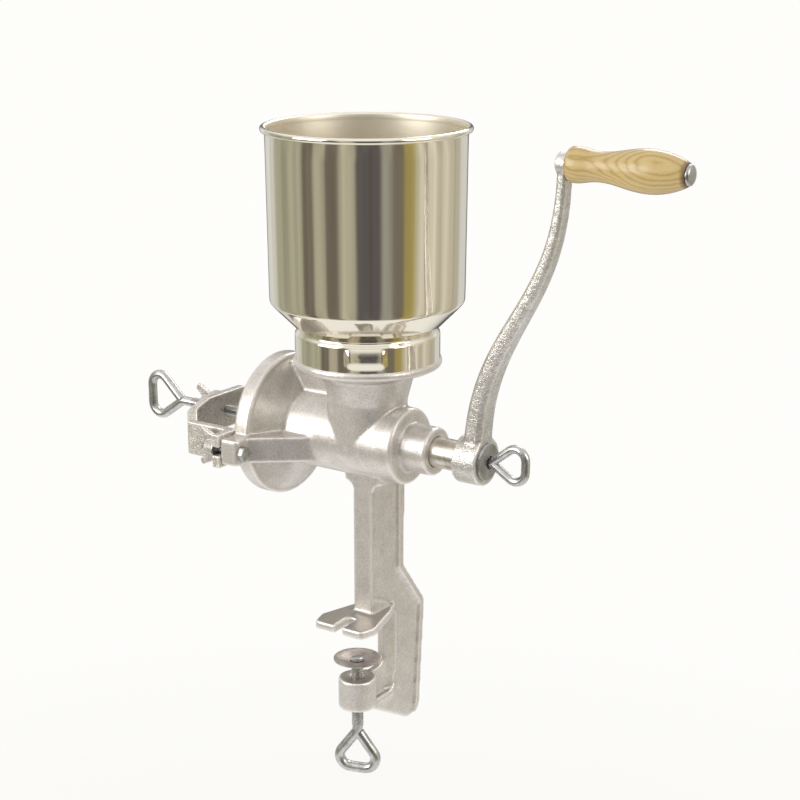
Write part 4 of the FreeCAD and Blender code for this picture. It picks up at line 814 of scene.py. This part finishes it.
def as_one(pieces, name):
    """Joins pieces into the first one."""
    bpy.ops.object.select_all(action="DESELECT")
    for piece in pieces:
        piece.select_set(True)
    bpy.context.view_layer.objects.active = pieces[0]
    bpy.ops.object.join()
    pieces[0].name = name
    pieces[0].data.name = name
    bpy.ops.object.shade_smooth_by_angle(angle=math.radians(40))
    return pieces[0]


bright_bar = worked_steel("bright_plated_bar", (172, 172, 172), (216, 216, 215), roughness=0.25, mark=0.0014)
thumb_bar = bent_bar("thumb_bar", [
    (68, AXLE_Y, AXLE_Z), (THUMB_NECK, AXLE_Y, AXLE_Z), (THUMB_NECK + 28, AXLE_Y, AXLE_Z + 22),
    (THUMB_NECK + 27, AXLE_Y, AXLE_Z - 16.5), (THUMB_NECK + 1.5, AXLE_Y, AXLE_Z - 0.8)],
    radius=3.1, bend_radius=8)
thumb_thread = screw_thread(
    "thumb_thread", (69, AXLE_Y, AXLE_Z), "X", turns=20, pitch=BAR_PITCH, root=2.9, crest=4.45)
thumb_screw = as_one([thumb_bar, thumb_thread], "crank_eye_screw")
thumb_screw.data.materials.append(bright_bar)
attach(thumb_screw, "rotor")
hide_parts("crank_thumb_screw")
washer_outline = [(0, 4.8), (0, 13.2), (0.3, 13.5), (1.2, 13.5), (1.9, 12.9), (2.4, 11.4), (2.7, 4.8)]
crank_washer = spun(
    "crank_dished_washer", washer_outline, "X", steps=64, centre=(CRANK_WASHER_FACE, AXLE_Y, AXLE_Z),
    loop=True)
picked(crank_washer)
bpy.ops.object.shade_smooth_by_angle(angle=math.radians(30))
crank_washer.data.materials.append(
    worked_steel("dull_plated_steel", (140, 139, 137), (188, 187, 185), roughness=0.4))
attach(crank_washer, "rotor")
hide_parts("crank_washer")

# Adjusting screw: the same bar bent to a larger eye. Its threaded end runs through the bridge and presses on
# the thrust ball.
ADJUSTER_NECK, ADJUSTER_TIP = -184.1, -115.96
adjuster_bar = bent_bar("adjuster_bar", [
    (ADJUSTER_TIP, AXLE_Y, AXLE_Z), (ADJUSTER_NECK, AXLE_Y, AXLE_Z),
    (ADJUSTER_NECK - 31, AXLE_Y, AXLE_Z - 22), (ADJUSTER_NECK - 31, AXLE_Y, AXLE_Z + 29),
    (ADJUSTER_NECK - 1.5, AXLE_Y, AXLE_Z + 1)], radius=3.5, bend_radius=8.5)
adjuster_thread = screw_thread(
    "adjuster_thread", (-174, AXLE_Y, AXLE_Z), "X", turns=45, pitch=BAR_PITCH, root=3.3, crest=3.98)
adjuster = as_one([adjuster_bar, adjuster_thread], "adjusting_eye_screw")
adjuster.data.materials.append(bright_bar)
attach(adjuster, "adjuster")
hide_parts("adjusting_screw")

# Adjusting bridge: a rough tinned casting on the mill's two ears, with a tapped boss on the shaft's axis.
bridge = cast_copy("adjusting_bridge", "bridge_casting", facet=0.0008, passes=3)
bridge.data.materials.append(cast_metal(
    "rough_casting", (182, 176, 167), (238, 233, 225), metallic=0.62, roughness=0.36, grain=0.0016,
    wave=0.006, pits=0.9, depth=0.0003, edge=1))
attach(bridge, "mill_frame")
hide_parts("adjusting_bridge")

# Studs, washers and wing nuts that hold the bridge: hexagon-headed plated studs from behind the ears, with
# turned washers and small cast wing nuts.
EAR_FACE, EAR_THICKNESS = -90.1, 15
STUD_Z, STUD_OUT = 127, 62.6
HEAD_RADIUS, HEAD_LENGTH = 5.8, 4.5
STUD_TIP, WASHER_FACE = EAR_FACE - 20.9, EAR_FACE - 7.9


def bridge_stud(name, side):
    """A hexagon-headed stud: a bevelled head behind the ear, and a thread that runs out through the nut."""
    bpy.ops.object.select_all(action="DESELECT")
    bpy.ops.mesh.primitive_cylinder_add(
        vertices=6, radius=HEAD_RADIUS * MM, depth=HEAD_LENGTH * MM, location=(0, 0, 0),
        rotation=(0, math.pi / 2, 0))
    head = bpy.context.object
    bpy.ops.object.transform_apply(location=True, rotation=True, scale=True)
    bpy.ops.object.mode_set(mode="EDIT")
    bpy.ops.mesh.select_all(action="SELECT")
    bpy.ops.mesh.bevel(offset=0.5 * MM, segments=2)
    back = EAR_FACE + EAR_THICKNESS + HEAD_LENGTH / 2
    bpy.ops.transform.translate(value=Vector((back, AXLE_Y + side * STUD_OUT, STUD_Z)) * MM)
    bpy.ops.object.mode_set(mode="OBJECT")
    foot = (STUD_TIP, AXLE_Y + side * STUD_OUT, STUD_Z)
    shank_outline = [(0, 0), (0, 2.1), (0.7, 2.6), (22, 2.6), (22, 3), (36, 3), (36, 0)]
    shank = spun(name + "_shank", shank_outline, "X", steps=32, centre=foot)
    ridge = screw_thread(
        name + "_thread", (STUD_TIP + 0.8, foot[1], foot[2]), "X", turns=14, pitch=1, root=2.5, crest=2.98)
    return as_one([head, shank, ridge], name)


flat_outline = [(0, 3.3), (0, 7.1), (0.2, 7.3), (1.2, 7.3), (1.4, 7.1), (1.4, 3.3)]
for name, side in (("near_stud", -1), ("far_stud", 1)):
    stud = bridge_stud(name, side)
    stud.data.materials.append(plated)
    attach(stud, "mill_frame")
    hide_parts("bridge_studs")
    seat = (WASHER_FACE, AXLE_Y + side * STUD_OUT, STUD_Z)
    washer = spun(name + "_washer", flat_outline, "X", steps=40, centre=seat, loop=True)
    washer.data.materials.append(plated)
    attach(washer, "mill_frame")
    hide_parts("bridge_washers")
wing_nuts = cast_copy("bridge_wing_nuts", "wing_nut_castings", facet=0.0005, passes=3)
nut_casting = cast_metal(
    "nut_casting", (176, 170, 165), (228, 222, 217), metallic=0.7, roughness=0.3, grain=0.0009, wave=0.005,
    pits=0.8, depth=0.0003, edge=0.9)
wing_nuts.data.materials.append(nut_casting)
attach(wing_nuts, "mill_frame")
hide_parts("bridge_wing_nuts")

# Lock nut: a larger cast wing nut that holds the adjusting screw where it is set.
lock_nut = cast_copy("lock_nut", "lock_nut_casting", facet=0.0005, passes=3)
lock_nut.data.materials.append(nut_casting)
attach(lock_nut, "lock_nut")
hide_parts("lock_nut")

# Clamp screw: the thickest eye screw. Its threaded rod runs through the boss of the lower arm, and its end is
# riveted over the pad.
CLAMP_TOP, CLAMP_NECK = -31.15, -86
EYE_TURN = math.radians(20)
eye_way = Vector((math.cos(EYE_TURN), math.sin(EYE_TURN), 0))


def on_eye(across, height):
    """A place in the plane of the clamp screw's eye."""
    return tuple(eye_way * across + Vector((0, 0, height)))


clamp_bar = bent_bar("clamp_bar", [
    (0, 0, CLAMP_TOP), (0, 0, CLAMP_NECK), on_eye(-22, CLAMP_NECK - 29.5), on_eye(22, CLAMP_NECK - 31),
    on_eye(1.2, CLAMP_NECK - 1.5)], radius=3.95, bend_radius=8.5)
clamp_thread = screw_thread(
    "clamp_thread", (0, 0, CLAMP_TOP - 50.5), "Z", turns=39, pitch=BAR_PITCH, root=3.8, crest=4.36)
rivet_outline = [(-26.9, 0), (-26.9, 2.4), (-27.2, 4.2), (-27.7, 5.1), (-28.3, 5.2), (-28.3, 3)]
rivet_outline += [(-31.5, 3), (-31.5, 0)]
clamp_rivet = spun("clamp_rivet", rivet_outline, "Z", steps=40)
clamp_screw = as_one([clamp_bar, clamp_thread, clamp_rivet], "clamp_eye_screw")
clamp_screw.data.materials.append(bright_bar)
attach(clamp_screw, "clamp_screw")
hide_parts("clamp_screw")

# Clamp pad: a pressed steel disc, dished round the rivet that it swivels on.
pad_outline = [(-28.9, 3.05), (-28.9, 5.6), (-28.5, 6.8), (-27.5, 9.2), (-26.9, 11), (-26.6, 13)]
pad_outline += [(-26.5, 16.6), (-26.8, 17.3), (-27.3, 17.4), (-28, 17.2), (-28.3, 16.4), (-28.4, 13)]
pad_outline += [(-28.8, 11.2), (-29.4, 9.8), (-30.6, 7), (-31.1, 5.9), (-31.1, 3.05)]
pad = spun("clamp_dished_pad", pad_outline, "Z", steps=72, loop=True)
picked(pad)
bpy.ops.object.shade_smooth_by_angle(angle=math.radians(45))
pad.data.materials.append(worked_steel(
    "pressed_steel", (160, 151, 145), (200, 191, 184), roughness=0.5, mark=0.0022, depth=0.00003))
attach(pad, "clamp_foot")
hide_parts("clamp_pad")

# Burr plates: hard grey iron with ground faces and sharp furrows. The fixed one is screwed into the bell and
# the rotating one sits on the worm's stub; both keep the shape that they are machined to.
burr_iron = worked_steel(
    "ground_burr_iron", (112, 110, 107), (146, 143, 139), roughness=0.45, mark=0.0008, depth=0.00005)
for part_name in ("fixed_burr_plate", "rotating_burr_plate"):
    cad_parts[part_name].data.materials.clear()
    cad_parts[part_name].data.materials.append(burr_iron)

# Feed worm: tinned cast iron, given one turned finish all over, and milled square for the crank.
worm_metal = worked_steel(
    "turned_shaft", (186, 179, 169), (230, 224, 214), roughness=0.3, stretch=(1, 0.12, 0.12), mark=0.0011,
    depth=0.00002)
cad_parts["feed_worm"].data.materials.clear()
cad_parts["feed_worm"].data.materials.append(worm_metal)

# Small steel pieces inside the bell: the drive pin, the fixed burr's screws and the polished thrust ball.
for part_name in ("drive_pin", "burr_plate_screws"):
    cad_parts[part_name].data.materials.clear()
    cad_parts[part_name].data.materials.append(plated)
ball_steel = worked_steel("ball_steel", (176, 176, 178), (206, 206, 208), roughness=0.1, mark=0.0004)
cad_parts["thrust_ball"].data.materials.clear()
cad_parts["thrust_ball"].data.materials.append(ball_steel)
